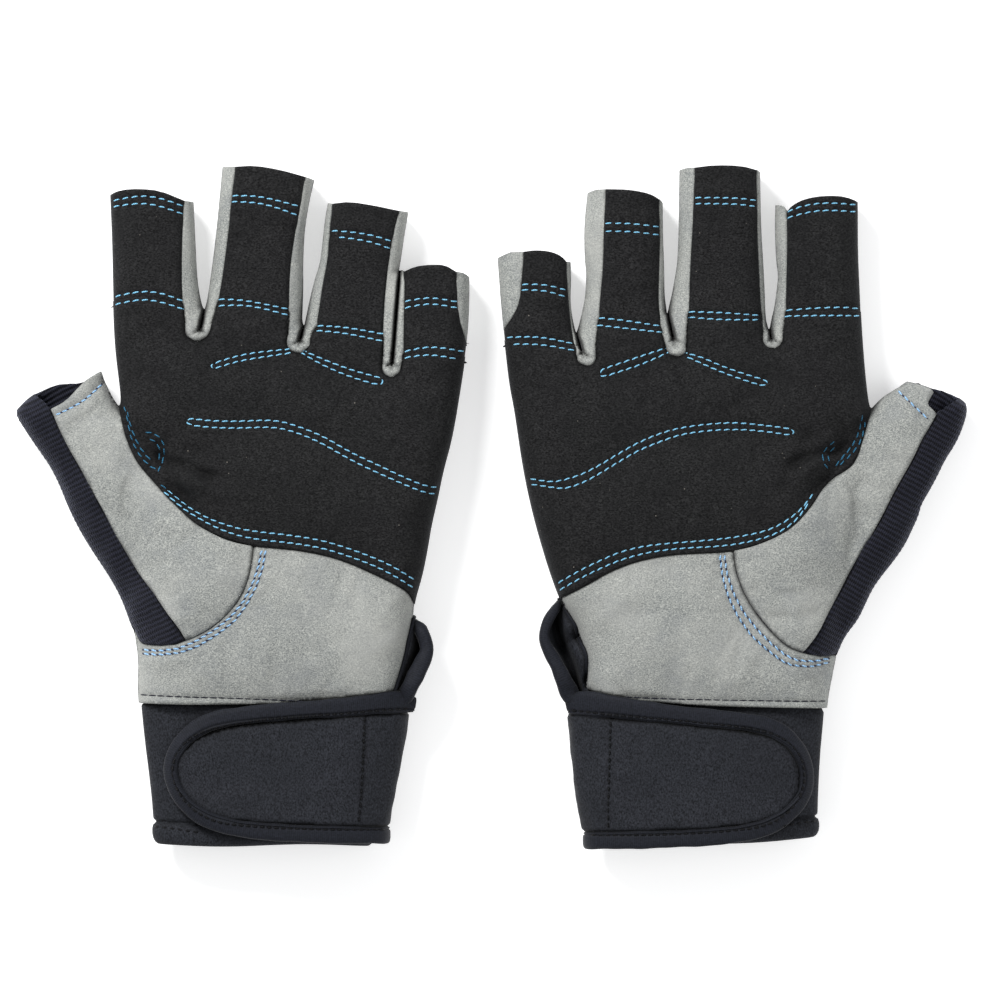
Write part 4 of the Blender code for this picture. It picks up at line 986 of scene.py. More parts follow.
class Glove:
    def __init__(self, side):
        self.side, self.mirror, self.traits = side, side == "right", TRAITS[side]
        self.seed = self.traits["seed"]
        self.table = table = read_lines(LINES[side])
        self.outline = {name: fine(table[name]) for name in OUTLINE}
        self.rim = list(self.outline.values())
        self.crease_origin = table["seam"][5]
        self.wrist = Wrist(table["cuff"])
        self.surfaces = []  # what the threads are laid on
        rows = [*table["palm"], *table["twist"], table["hem"]]
        rows += [line for finger in FINGERS for line in table[finger + "_rows"]]
        self.rows = [fine(line, 0.5) for line in rows]
        self.heel_row = [fine(table["dark"], 0.5)]
        self.detail = []  # extra mesh points on the palm side
        for line in self.rows + self.heel_row:
            line = resample(line, 0.75)
            left = sideways(line)
            self.detail += [line + left * off for off in (0, 0.55, -0.55, 1.25, -1.25)]
        self.front_rings = self.ring_points(1.0, ROUND_FRONT)
        self.back_rings = self.ring_points(1.2, ROUND_BACK)
        self.bends = {part: self.bend_zone(part) for part in BEND_REACH}
        self.finger_seams()
        self.hand_seams()

    def bend_zone(self, part):
        joint = JOINTS[f"{self.side}_{part}_{'open' if part == 'strap' else 'flex'}"]
        at, axis = Vector(joint["pos_m"]), Vector(joint["axis"])
        along = Vector((-axis.y, axis.x, 0)).normalized()
        before, after = BEND_REACH[part]
        return tuple(at - along * before), tuple(at + along * after)

    # ---- the hand's surfaces
    def to_rim(self, P):
        return distance(P, self.rim)

    def thickness(self, P):
        """The hand's thickness, easing down to the thumb's beyond the web."""
        x, y = P.T
        trunk = np.interp(y, *HEIGHT.T)
        web = self.table["web_edge"]
        edge = np.interp(y, web[::-1, 1], web[::-1, 0])
        soft = np.interp(y, [web[2, 1] - 12, web[2, 1]], [16.0, 1.0])
        return THUMB_HEIGHT + (trunk - THUMB_HEIGHT) * ease((x - edge + soft * 0.2) / soft)

    def relief(self, P):
        """Stitch rows pressed into the palm side, with the fabric puffed beside them."""
        d, s = nearest(P, self.rows)
        z = -0.30 * hump(d, 0.55) + 0.13 * np.sin(TURN * s / (STITCH * 1.5)) * hump(d, 2.0)
        z += 0.16 * hump(d - 2.2, 1.6)
        d, s = nearest(P, self.heel_row)
        return z - 0.35 * hump(d, 0.5) + 0.05 * np.sin(TURN * s / 5.1) * hump(d, 2.0)

    def folds(self, P):
        """Broad unevenness, and the creases that run from the web into the palm."""
        z = 0.55 * waves(P, self.seed, 22, 60) + 0.22 * waves(P, self.seed + 1, 7, 16)
        for x, y, degrees, length, width, depth in CREASES:
            c, s = math.cos(math.radians(degrees)), math.sin(math.radians(degrees))
            q = P - self.crease_origin - [x, y]
            u, v = q[:, 0] * c + q[:, 1] * s, -q[:, 0] * s + q[:, 1] * c
            z += CREASE_GAIN * depth * np.exp(-((u / length) ** 2) - (v / width) ** 2)
        return z

    def front(self, P):
        """Points on the palm side."""
        top = self.thickness(P)
        middle = top * MIDDLE
        d = self.to_rim(P)
        t = np.clip(d / ROUND_FRONT, 0, 1)
        rise = (1 - (1 - t) ** 2.3) ** (1 / 2.3)
        return np.c_[P, middle + (top - middle) * rise + self.folds(P) * ease(d / 7.0)]

    def back(self, P):
        """Points on the back of the hand, against the floor."""
        middle = self.thickness(P) * MIDDLE
        t = np.clip(self.to_rim(P) / ROUND_BACK, 0, 1)
        return np.c_[P, middle * (1 - (1 - (1 - t) ** 2.2) ** (1 / 2.2))]

    def ring_points(self, spacing, radius):
        """Rows of mesh points that follow the silhouette round its curved edge."""
        out = []
        for line in self.rim:
            line = resample(line, spacing)
            left = sideways(line)
            for degrees in (12, 22, 32, 42, 53, 65):
                off = radius * (1 - math.cos(math.radians(degrees)))
                out += [line - left * off, line + left * off]
        return np.concatenate(out)

    # ---- making pieces
    def panel(self, runs, front=True, lift=0.0, edge=0.0, edge_width=0.7, step=1.05, uv=None,
              shape=None, keep=True, cloth=0.0):
        """A fabric piece on one side of the hand, as (vertices, faces, uv).

        edge presses its border in, shape adds height, keep lets threads lie on it, and
        cloth is how much too large it is cut.
        """
        outline = loop(*runs)
        points = [*self.detail, self.front_rings] if front else [self.back_rings]
        P, F = triangulate(outline, step, np.concatenate(points))
        V = self.front(P) if front else self.back(P)
        if not front:
            F = [face[::-1] for face in F]
        normals = normals_of(V, F)
        out = np.full(len(P), float(lift))
        border = [closed(outline)]
        if front:
            out += self.relief(P) * ease(self.to_rim(P) / 2.0)
        if edge:
            out -= edge * hump(distance(P, border), edge_width)
        if shape is not None:
            out += shape(P)
        move = normals * out[:, None]
        flat = np.hypot(move[:, 0], move[:, 1])
        move[:, :2] *= (np.minimum(flat, 0.5) / (flat + 1e-9))[:, None]
        V = V + move
        if cloth:
            pinned = distance(P, border) < 1.3
            pinned |= distance(P, self.rows + self.heel_row) < 0.75
            pinned |= self.to_rim(P) < 3.5
            V = settle(V, F, pinned, cloth)
        V[:, 2] = np.maximum(V[:, 2], 0.02)
        if front and keep:
            self.surfaces.append((V, F))
        return V, F, (P if uv is None else uv(P))

    def weld(self, front, back):
        """Front and back parts of one strip, joined along the silhouette they share."""
        n = len(front[0])
        places, index, V, UV = {}, [], [], []
        for i, (v, uv) in enumerate(zip(np.r_[front[0], back[0]], np.r_[front[2], back[2]])):
            place = tuple(np.round(v / 0.05).astype(int))
            if place in places and i >= n:
                index.append(places[place])
            else:
                places.setdefault(place, len(V))
                index.append(len(V))
                V.append(v)
                UV.append(uv)
        F = [tuple(index[i] for i in face) for face in front[1]]
        F += [tuple(index[i + n] for i in face) for face in back[1]]
        return np.array(V), [face for face in F if len(set(face)) == 3], np.array(UV)

    def make(self, name, mesh, outer, rides, *stands, inner="lining_dark", slot=None, solid=0.9):
        """Adds a piece, tied to the palm's body when it rides on the palm; it stands in for the
        named CAD pieces.
        """
        materials = [MATERIALS[key] for key in (outer, inner) if key]
        obj = new_object(f"{self.side}_{name}", mesh, materials, self.mirror, solid)
        self.place(obj, rides, slot or outer)
        if stands:
            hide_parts(*[f"{self.side}_{stand}" for stand in stands])

    def place(self, obj, rides, slot):
        palm = self.side + "_palm"
        if rides == "palm":
            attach(obj, palm)
            return
        if obj.modifiers:  # pieces on other parts have their thickness applied and their placement baked in
            bpy.context.view_layer.update()
            graph = bpy.context.evaluated_depsgraph_get()
            solid_mesh = bpy.data.meshes.new_from_object(obj.evaluated_get(graph))
            obj.modifiers.clear()
            obj.data = solid_mesh
        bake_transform(obj)

    # ---- shared seams
    def finger_seams(self):
        table = self.table
        web, ulnar = self.outline["web"], self.outline["ulnar"]
        self.base = {f: fine(table[f + "_base"], rounds=1) for f in FINGERS}
        self.tip = {f: fine(table[f + "_tip"], rounds=1) for f in FINGERS}
        self.near = {f: fine(table[f + "_near"], rounds=1) for f in FINGERS[1:]}
        self.near["index"] = cut(web, self.base["index"][0], self.tip["index"][0])
        self.far = {f: fine(table[f + "_far"], rounds=1) for f in FINGERS}
        self.little_far = self.far["little"]
        below = cut(ulnar, self.base["little"][-1], self.little_far[0])
        self.far["little"] = np.r_[below, self.little_far]
        self.base["little"][-1] = below[0]
        self.base["index"][0] = self.near["index"][0]
        self.notches = [fine(line, 0.7, 1) for line in table["notch"]]
        for line in self.notches:  # widen each notch near its foot and sink it
            low = np.argmin(line[:, 1])
            up, middle = line[:, 1] - line[low, 1], line[low, 0]
            line[:, 0] += 0.8 * np.clip((line[:, 0] - middle) / 0.9, -1, 1) * hump(up - 1.6, 1.8)
            line[:, 1] -= self.traits["notch_sink"] * hump(up, 2.2)

    def hand_seams(self):
        table, web = self.table, self.outline["web"]
        radial, ulnar = self.outline["radial"], self.outline["ulnar"]
        self.seam = fine(table["seam"])
        self.web_run = cut(web, self.seam[0], self.base["index"][0])
        self.rib = fine(table["rib_edge"])
        self.thenar = fine(table["thenar"])
        for name in ("rib_low", "bottom", "front_tip", "rib_tip", "back_tip", "thumb_line"):
            setattr(self, name, fine(table[name], rounds=1))
        self.branch = closest(self.seam, self.thenar[-1])
        self.thenar[-1] = self.seam[self.branch]
        self.side_low = cut(radial, self.rib_low[0], self.bottom[0])
        self.ulnar_low = cut(ulnar, self.bottom[-1], self.seam[-1])
        self.rib_low[0], self.bottom[0] = self.side_low[0], self.side_low[-1]
        self.bottom[-1] = self.ulnar_low[0]
        self.radial_up = cut(radial, self.rib_low[0], self.rib_tip[0])
        self.rib_tip[0] = self.back_tip[0] = self.radial_up[-1]
        self.thumb_line[0], self.thumb_line[-1] = self.seam[0], self.radial_up[0]

    def upper_runs(self):
        """The line through finger bases and notches, from index to little finger."""
        runs = [self.base["index"]]
        for notch, finger in zip(self.notches, FINGERS[1:]):
            runs += [notch, self.base[finger]]
        return runs

    # ---- palm and fingers
    def palm_overlay(self):
        end = cut(self.outline["ulnar"], self.base["little"][-1], self.seam[-1])
        runs = [*self.upper_runs(), end, self.seam[::-1], self.web_run]
        mesh = self.panel(runs, lift=0.5, edge=0.28, edge_width=0.5, cloth=0.008)
        self.make("palm_overlay", mesh, "palm_suede_black", "palm", "palm_overlay", solid=1.0)

    def finger(self, name):
        base, tip, near, far = (d[name] for d in (self.base, self.tip, self.near, self.far))

        def crown(P):
            """A rolled tip and a pressed base."""
            z = 0.22 * hump(distance(P, [tip]), 1.7, 4) - 0.25 * hump(distance(P, [base]), 0.7)
            return z * ease(self.to_rim(P) / 2.0)

        low = base - np.array([0.0, 1.3])  # the front reaches under the palm piece
        left, right = near, far
        if name == "index":
            left = np.r_[cut(self.outline["web"], low[0], near[0]), near]
        else:
            low = low[2:]
        if name == "little":
            right = np.r_[cut(self.outline["ulnar"], low[-1], base[-1]), far]
        else:
            low = low[:-2]
        mesh = self.panel([low, right, tip[::-1], left[::-1]],
                          lift=0.42, edge=0.35, edge_width=0.6, step=0.95, shape=crown)
        self.make(name + "_front", mesh, "palm_suede_black", name, name + "_front")
        mesh = self.panel([base, far, tip[::-1], near[::-1]], front=False, edge=0.2, step=1.3)
        self.make(name + "_back_panel", mesh, "stretch_black", name, name + "_back")

    def gusset_bulge(self, P):
        return 0.45 * hump(self.to_rim(P) - 1.5, 1.35)

    def pucker(self, P, notch, pit):
        """The pinched corner between two fingers, with three short creases from its pit."""
        r = P - pit
        radius, angle = np.hypot(r[:, 0], r[:, 1]), np.arctan2(r[:, 0], -r[:, 1])
        star = sum(hump(angle - at, 0.21) * hump(radius, length)
                   for at, length in ((-1.05, 2.6), (-0.15, 1.9), (0.9, 2.3)))
        d = distance(P, [notch])
        z = 0.75 * hump(d - 1.6, 1.2) * ease((pit[1] + 3 - P[:, 1]) / 3) - 1.6 * star
        z -= 0.6 * hump(d, 0.5)
        fine_waves = waves(P, self.seed + 3, 2.0, 4.5)
        return z + 0.28 * fine_waves * ease((pit[1] + 3 - P[:, 1]) / 4)

    def strip(self, name, runs, finger, *stands, notch=None, slit=None):
        """A gusset strip down the side of a finger, palm side and back."""
        front = self.panel(runs, step=0.7, shape=self.gusset_bulge)
        if notch is not None:
            # two neighbouring strips fold against each other above the puckered corner
            V, _, P = front
            pit = slit[-1]
            width = 0.42 if slit[0][1] - pit[1] > 8 else 0.6
            near = ease((slit[0][1] + 2.0 - P[:, 1]) / 3)
            V[:, 2] -= 6.5 * hump(distance(P, [slit]), width) * near
            V[:, 2] += self.pucker(P, notch, pit)
        back = self.panel(runs, front=False, step=0.8)
        self.make(name, self.weld(front, back), "suede_grey", finger, *stands)

    def finger_gap(self, i):
        """The two strips between neighbouring fingers, and the welt round their corner."""
        first, second = FINGERS[i], FINGERS[i + 1]
        gap, notch, pit = self.outline[f"gap_{i}"], self.notches[i], self.table["pit"][i]
        gap_low, notch_low = int(np.argmin(gap[:, 1])), int(np.argmin(notch[:, 1]))
        first_end = fine(self.table[first + "_far_end"], 0.7, 0)
        second_end = fine(self.table[second + "_near_end"], 0.7, 0)
        slit = resample([gap[gap_low], pit], 0.7)
        angle = np.linspace(0, TURN, 24, endpoint=False)
        circle = np.c_[np.cos(angle), np.sin(angle)]
        self.detail += [pit + r * circle for r in (0.3, 0.6, 0.9, 1.25, 1.6, 2.0, 2.5, 3.0)]
        self.detail += [slit + [x, 0] for x in (-1.5, -1.1, -0.7, -0.35, 0.35, 0.7, 1.1, 1.5)]
        stand = "index_gusset" if first == "index" else f"{first}_gusset_{second}_side"
        runs = [notch[: notch_low + 1][::-1], self.far[first], first_end, gap[: gap_low + 1], slit]
        self.strip(f"{first}_fourchette_{second}_side", runs, first, stand,
                   notch=notch, slit=slit)
        stand = "little_gusset" if second == "little" else f"{second}_gusset_{first}_side"
        runs = [notch[notch_low:], self.near[second], second_end[::-1], gap[gap_low:][::-1], slit]
        self.strip(f"{second}_fourchette_{first}_side", runs, second, stand,
                   notch=notch, slit=slit)

        reach = pit[1] + 2.6
        start = int(np.argmin(np.abs(notch[: notch_low + 1, 1] - reach)))
        stop = notch_low + int(np.argmin(np.abs(notch[notch_low:, 1] - reach)))
        run = notch[start : stop + 1]
        point = pit + [0.1, 0.15]
        runs = [run, resample([run[-1], point], 0.5), resample([point, run[0]], 0.5)]
        mesh = self.panel(runs, step=0.5, shape=self.gusset_bulge, keep=False)
        V, _, P = mesh
        sides = distance(P, [resample([run[-1], pit], 0.5), resample([pit, run[0]], 0.5)])
        V[:, 2] += self.pucker(P, notch, pit) + 0.30 - 0.55 * hump(sides, 0.45)
        V[:, 2] -= 3.5 * hump(np.hypot(*(P - pit).T), 0.8)
        name = f"{first}_{second}"
        self.make("crotch_welt_" + name, mesh, "suede_grey", "palm", "crotch_" + name)

    def little_side(self):
        end = fine(self.table["little_far_end"], 0.7, 0)
        edge = cut(self.outline["ulnar"], end[-1], self.little_far[0])
        self.strip("little_side", [self.little_far, end, edge], "little")

    # ---- heel, thumb and back
    def heel_panel(self):
        def pressed(P):
            return -0.55 * hump(distance(P, [self.thenar, self.rib_low]), 0.45)

        runs = [self.bottom, self.ulnar_low, self.seam[self.branch :][::-1],
                self.thenar[::-1], self.rib_low[::-1], self.side_low]
        mesh = self.panel(runs, shape=pressed, cloth=0.006)
        self.make("heel_panel", mesh, "suede_grey", "palm", "heel_panel", solid=1.0)

    def thumb_front(self):
        def padded(P):
            """Pressed along its seams, full just inside the thenar seam, rolled at the tip."""
            d = distance(P, [self.thenar])
            z = -0.6 * hump(d, 0.45) + 0.8 * hump(d - 7, 6)
            z += 0.25 * hump(distance(P, [self.front_tip]), 2.0, 4)
            return z - 0.2 * hump(distance(P, [self.rib]), 0.7)

        inner = cut(self.outline["web"], self.front_tip[-1], self.seam[0])
        runs = [self.rib, self.thenar, self.seam[: self.branch + 1][::-1], inner[::-1],
                self.front_tip[::-1]]
        mesh = self.panel(runs, lift=0.05, shape=padded, cloth=0.008)
        if "flap" in self.table:  # the end of this thumb is pressed down towards its back
            V, fold = mesh[0], self.table["flap"]
            away = np.array([fold[0, 1] - fold[1, 1], fold[1, 0] - fold[0, 0]])
            away *= -np.sign((self.thenar.mean(0) - fold[0]) @ away) / np.linalg.norm(away)
            sink = np.clip(((V[:, :2] - fold[0]) @ away + 0.8) / 5.2, 0, 1) ** 1.6
            V[:, 2] -= 0.85 * sink * (V[:, 2] - self.back(V[:, :2])[:, 2] - 1.2)
        self.make("thumb_front_panel", mesh, "suede_grey", "thumb", "thumb_front",
                  "thenar_panel", solid=1.0)

    def thumb_rib(self):
        """The ribbed side of the thumb, wrapped round to its back."""
        start = self.rib_low.mean(0)
        axis = self.table["rib_tip"][0] - start
        axis /= np.linalg.norm(axis)

        def rib_uv(P):
            q = P - start
            return np.c_[q @ np.array([axis[1], -axis[0]]), q @ axis]

        def ridges(P, least, more):
            depth = least + more * ease(self.to_rim(P) / 2)
            return depth * np.cos(TURN * rib_uv(P)[:, 1] / RIB)

        def front_shape(P):
            z = ridges(P, least=0.07, more=0.13)
            z += 0.5 * waves(P, self.seed + 4, 9, 22) * ease(self.to_rim(P) / 3)
            return z - 0.5 * hump(distance(P, [self.rib, self.rib_low]), 0.8)

        runs = [self.rib_low, self.rib[::-1], self.rib_tip[::-1], self.radial_up[::-1]]
        front = self.panel(runs, lift=0.1, step=0.5, uv=rib_uv, shape=front_shape)
        inner = cut(self.outline["web"], self.back_tip[-1], self.seam[0])
        back = self.panel([self.radial_up, self.back_tip, inner, self.thumb_line], front=False,
                          step=0.75, uv=rib_uv, shape=lambda P: ridges(P, least=0.06, more=0.1))
        self.make("thumb_ribbed_panel", self.weld(front, back), "ribbed_knit_black", "thumb",
                  "thumb_back", "thumb_gusset", inner="ribbed_knit_black", slot="stretch_black")

    def back_of_hand(self):
        runs = [*self.upper_runs(),
                cut(self.outline["ulnar"], self.base["little"][-1], self.bottom[-1]),
                self.bottom[::-1],
                cut(self.outline["radial"], self.bottom[0], self.radial_up[0]),
                self.thumb_line[::-1], self.web_run]
        mesh = self.panel(runs, front=False, edge=0.2, step=1.5)
        self.make("back_of_hand", mesh, "stretch_black", "palm", "back_panel", solid=1.0)

    # ---- wrist
    def cuff(self):
        """A closed band: down its outside, round the hem and up its inside."""
        wrist, bottom, traits = self.wrist, self.bottom, self.traits
        top = max(wrist.y[-1], bottom[:, 1].max()) + 2.0
        low = wrist.y[0] + traits["cuff_raise"]
        profile = [(top - row * 0.45, 0.0) for row in range(18)]
        profile += [(y, 0.0) for y in np.linspace(profile[-1][0] - 1.8, low + 8.2, 15)]
        profile += [(low + up, out) for up, out in CUFF_HEM] + [(top, -2.5)]
        s = np.linspace(wrist.s[0], wrist.s[-1], CUFF_COLUMNS + 1)[:-1]
        V, UV = [], []
        for y, out in profile:
            outside = out > -2.2
            ripple = 0.35 * np.sin(s / 7.0 + traits["cuff_phase"])
            ripple *= 0.4 + 0.6 * (y - top) / (low - top)
            ripple += 0.18 * np.sin(s / 2.3 + y / 5)
            tilt = traits["cuff_tilt"] * np.clip(s / wrist.s[-1] * 2, -1, 0.15)
            wavy = 0.35 * np.sin(s / 9.0) if y < low + 9 else 0.0
            ys = y + wavy + tilt * ease((low + 16 - y) / 16)
            tuck = 0.0
            if outside:  # goes under the heel panel
                heel = np.interp(wrist.wrap(s, ys, 0.0)[:, 0], bottom[:, 0], bottom[:, 1])
                tuck = -0.9 * (1 - ease(heel - ys + 0.3))
            V.append(wrist.wrap(s, ys, out + tuck + ripple * (0.35 if outside else 0.1)))
            UV.append(np.c_[s, ys])
        V, UV = np.concatenate(V), np.concatenate(UV)
        V[:, 2] = np.maximum(V[:, 2], 0.14)
        F = []
        for row in range(len(profile)):
            for column in range(CUFF_COLUMNS):
                a = row * CUFF_COLUMNS + column
                b = row * CUFF_COLUMNS + (column + 1) % CUFF_COLUMNS
                F.append((a, (a + CUFF_COLUMNS) % len(V), (b + CUFF_COLUMNS) % len(V), b))
        self.surfaces.append((V, as_triangles(F)))
        self.make("cuff", (V, F, UV), "neoprene_black", "palm", "cuff_band", inner=None, solid=0)

    def strap_tab(self):
        wrist = self.wrist
        tab = fine(self.table["strap"])
        tab[:, 1] += np.sign(tab[:, 1] - tab[:, 1].mean()) * 0.25
        s, y = wrist.unroll(tab), tab[:, 1]
        root = wrist.s[-1] * 0.62
        outline = loop(np.c_[s, y], [(root, y[-1]), (root, y[0])])
        outline = loop(resample(closed(outline), 0.8))
        self.tab, self.tab_s, self.strap_root = tab, outline[:, 0].min(), root
        P, F = triangulate(outline, 1.1)
        out = 4.55 - 0.75 * hump(distance(P, [closed(outline)]), 0.5)
        out += 0.18 * waves(P, self.seed + 7, 10, 30) + 0.12 * waves(P, self.seed + 8, 4, 8)
        row = fine(self.table["strap_stitch"], 0.5, 1)
        out -= 0.4 * hump(distance(P, [np.c_[wrist.unroll(row), row[:, 1]]]), 0.6)
        out -= 3.2 * ease((P[:, 0] - root + 9) / 9)  # sewn down at its root
        V = wrist.wrap(P[:, 0], P[:, 1], out)
        V[:, 2] = np.maximum(V[:, 2], 0.02)
        self.surfaces.append((V, F))
        self.make("wrist_strap_tab", (V, F, P), "neoprene_black", "strap", "wrist_strap",
                  inner="loop_black", solid=2.0)

    def add_roll(self, name, mesh, rides, stand):
        self.surfaces.append((mesh[0], as_triangles(mesh[1])))
        self.make(name, mesh, "binding_black", rides, stand, inner=None, solid=0)

    def strap_binding(self):
        wrist, root = self.wrist, self.strap_root
        plan = fine(self.table["binding"], 0.9)
        flat = np.c_[wrist.unroll(plan, 4.2), plan[:, 1]]
        tail = np.linspace(flat[-1, 0], root, 34)[1:]
        flat = np.r_[flat, np.c_[tail, np.full(len(tail), flat[-1, 1])]]
        way = arc_length(flat)
        out = 3.75 - 3.0 * ease((flat[:, 0] - root + 9) / 9) * (way > way[-1] / 2)
        path = wrist.wrap(flat[:, 0], flat[:, 1], out)
        above = wrist.wrap(flat[:, 0], flat[:, 1], out + 1.15)
        # its first end is sewn down flat beside the vent and doesn't turn round the wrist
        off = np.abs(plan[:, 0] - wrist.middle(plan[:, 1]))
        on = int(np.argmax(off < wrist.half(plan[:, 1]) - 1.5))
        far = np.linalg.norm(plan[:on] - path[on, :2], axis=1)
        path[:on] = np.c_[plan[:on], path[on, 2] - 0.65 * far]
        above[:on] = path[:on] + np.array([0.55, 0.0, 0.9])
        run = arc_length(path)
        tip = run[int(np.argmin(flat[:, 0]))]
        at, width = zip(*self.traits["binding_width"])
        width = np.interp(run, [*at, tip * 0.8, tip, tip * 1.3, run[-1]],
                          [*width, 2.65, 2.4, 2.55, 2.75])
        width *= 1 + 0.03 * np.sin(run / 3.1) + 0.02 * np.sin(run / 1.3)
        k = len(path) // 3
        across = np.cross(path[k + 1] - path[k], above[k] - path[k])
        inner = 1.0 if (across[:2] * (self.tab.mean(0) - path[k][:2])).sum() > 0 else -1.0
        mesh = sweep(path, width, 1.4, above - path, sides=56, power=3.0, channel=inner * 0.46)
        mesh[0][:, 2] = np.maximum(mesh[0][:, 2], 0.05)
        self.add_roll("strap_binding_roll", mesh, "strap", "strap_binding")

    def vent_binding(self):
        """The rolled edge of the vent, rising over the strap's binding at its lower end."""
        table = self.table["vent"]
        plan = fine(table[:, :2], 0.9)
        t = np.linspace(0, 1, len(plan))
        knots = arc_length(table[:, :2])
        over = self.wrist.wrap(self.wrist.unroll(plan, 4.2), plan[:, 1], 4.95)[:, 2]
        over = np.maximum(over, 16.4) - 1.75 - 1.1 * np.clip((t - 0.82) / 0.18, 0, 1)
        low = ease((t - 0.60) / 0.16)
        z = np.interp(t, [0, 0.12, 0.5, 0.75, 1], [12.5, 14.5, 16.3, 16.8, 16.8])
        self.vent_path = path = np.c_[plan, z * (1 - low) + over * low]
        run = arc_length(path)
        width = np.interp(t, knots / knots[-1], table[:, 2])
        width *= 1 + 0.05 * np.sin(run / 2.1) + 0.03 * np.sin(run / 0.9)
        height = 1.7 + 0.12 * np.sin(run / 1.7)
        mesh = sweep(path, width, height, [-0.35, 0, 1.0], sides=24, power=2.3)
        self.add_roll("vent_binding_roll", mesh, "palm", "vent_binding")

    def vent_gusset(self):
        """A sagging web between the heel's edge and the rolled edge, and piping on the heel."""
        spans, columns = 60, 13
        edge = resample(self.table["vent_edge"], 0.8)
        vent = self.vent_path[:, :2]
        heel, roll = (resample(line, arc_length(line)[-1] / spans) for line in (edge, vent))
        i, u = np.arange(spans + 1)[:, None], np.arange(columns) / (columns - 1)
        roll_z = np.interp(i / spans, np.linspace(0, 1, len(vent)), self.vent_path[:, 2]) - 0.5
        sag = 8.0 * hump(u - 0.62, 0.22) * np.minimum(1, i / 12)
        sag -= 1.2 * hump(u - 0.22, 0.2) * np.minimum(1, i / 8)
        z = (self.front(heel)[:, 2:] - 1.2) * (1 - u) + (roll_z - 0.4) * u - sag
        plan = heel[:, None] * (1 - u)[:, None] + roll[:, None] * u[:, None]
        V = np.concatenate([plan, z[..., None]], axis=2).reshape(-1, 3)
        UV = np.stack(np.broadcast_arrays(u * 8, i * 1.3), -1).reshape(-1, 2)
        F = [(a, a + 1, a + 1 + columns, a + columns)
             for row in range(spans) for a in range(row * columns, row * columns + columns - 1)]
        a, b, c = V[list(F[0][:3])]
        if np.cross(b - a, c - a)[2] < 0:
            F = [face[::-1] for face in F]
        self.make("vent_gusset", (V, F, UV), "neoprene_black", "palm", slot="stretch_black",
                  solid=0.8)
        path = self.front(edge) + [0.25, 0, -0.3]
        mesh = sweep(path, 0.75, 0.75, [0.3, 0, 1.0], sides=12, power=2.0)
        self.make("vent_piping", mesh, "binding_black", "palm", inner=None, solid=0)

    def patch(self, kind, rides, out, start, stop, below, above):
        """A hook or loop patch under the strap, measured in from the tab's tip and edges."""
        s0, s1 = self.tab_s + start, self.tab_s + stop
        y0, y1 = self.tab[:, 1].min() + below, self.tab[:, 1].max() - above
        border = resample([(s0, y0), (s1, y0), (s1, y1), (s0, y1), (s0, y0)], 1.5)
        P, F = triangulate(loop(border), 1.6)
        V = self.wrist.wrap(P[:, 0], P[:, 1], out + 0.06 * waves(P, 3, 2, 4))
        self.make(kind + "_patch_pad", (V, F, P), kind + "_black", rides, kind + "_patch",
                  inner=None, solid=0.7)

    # ---- threads
    def drop(self, x, y):
        """Where a vertical ray from above meets the glove, and the normal there."""
        place, normal, *_ = self.tree.ray_cast(Vector((x, y, 90)), Vector((0, 0, -1)))
        return None if place is None else (np.array(place), np.array(normal))

    def sew(self, name, lines, threads, rides, slot, pitch=STITCH, length=2.25, radius=0.235,
            lift=0.27, slant=0.0, twist=False, deep=None):
        """Stitches as small arched tubes of thread laid on the finished surface.

        twist adds a short second thread in each gap; within deep (x, y, radius) the second
        thread, there a darker copy that paints the shade by the web, is used instead of the first.
        """
        rings, sides = 6, 7
        u = np.linspace(0, 1, rings)
        angle = TURN * np.arange(sides)[:, None] / sides
        arch = lift * np.sin(math.pi * u) ** 0.6 - 0.20
        swell = 0.62 + 0.38 * np.sin(math.pi * u)
        lean = slant * (u - 0.5) * (-1 if self.mirror else 1)
        V, F, UV, indices = [], [], [], []

        def stitch(line, along, start, size, thread, thick, jitter):
            at = np.clip(start + u * size, 0, along[-1])
            places = [self.drop(np.interp(a, along, line[:, 0]), np.interp(a, along, line[:, 1]))
                      for a in at]
            if not all(places):
                return
            points, normals = (np.array(part) for part in zip(*places))
            core = points + normals * arch[:, None]
            up = normals.mean(axis=0)
            ahead = core[-1] - core[0]
            ahead /= np.linalg.norm(ahead) + 1e-9
            across = np.cross(ahead, up)
            across /= np.linalg.norm(across) + 1e-9
            # painted shade: near the web a darker copy of the thread stands in for its shadow
            if deep is not None:
                thread = int(np.hypot(core[2][0] - deep[0], core[2][1] - deep[1]) < deep[2])
            ring = across * np.cos(angle) + up * np.sin(angle) * 0.8
            tube = core[:, None] + ring * (thick * swell)[:, None, None]
            tube += across * (jitter + lean)[:, None, None]
            faces = tube_faces(rings, sides, first=len(V) * rings * sides)
            V.append(tube.reshape(-1, 3))
            around, run = np.arange(sides) / sides, (start + u * size)[:, None]
            UV.append(np.stack(np.broadcast_arrays(around, run), -1).reshape(-1, 2))
            F.extend(faces)
            indices.extend([thread] * len(faces))

        for line in lines:
            line = smooth(line)
            along = arc_length(line)
            count = max(1, int(along[-1] / pitch))
            gap = along[-1] / count
            for k in range(count):
                pieces = [(k * gap + (gap - length) / 2, length, 0, radius)]
                if twist:
                    pieces.append((k * gap + gap - 0.55, 1.1, 1, radius * 0.8))
                for piece in pieces:
                    jitter = 0.05 * math.sin(k * 12.9898 + piece[2] * 3)
                    stitch(line, along, *piece, jitter)
        mesh = np.concatenate(V), F, np.concatenate(UV)
        materials = [MATERIALS[thread] for thread in threads]
        obj = new_object(f"{self.side}_{name}", mesh, materials, self.mirror)
        if len(threads) > 1:
            obj.data.polygons.foreach_set("material_index", indices)
        bm = bmesh.new()
        bm.from_mesh(obj.data)
        bmesh.ops.recalc_face_normals(bm, faces=bm.faces)
        bm.to_mesh(obj.data)
        bm.free()
        self.place(obj, rides, slot)

    def blue_threads(self):
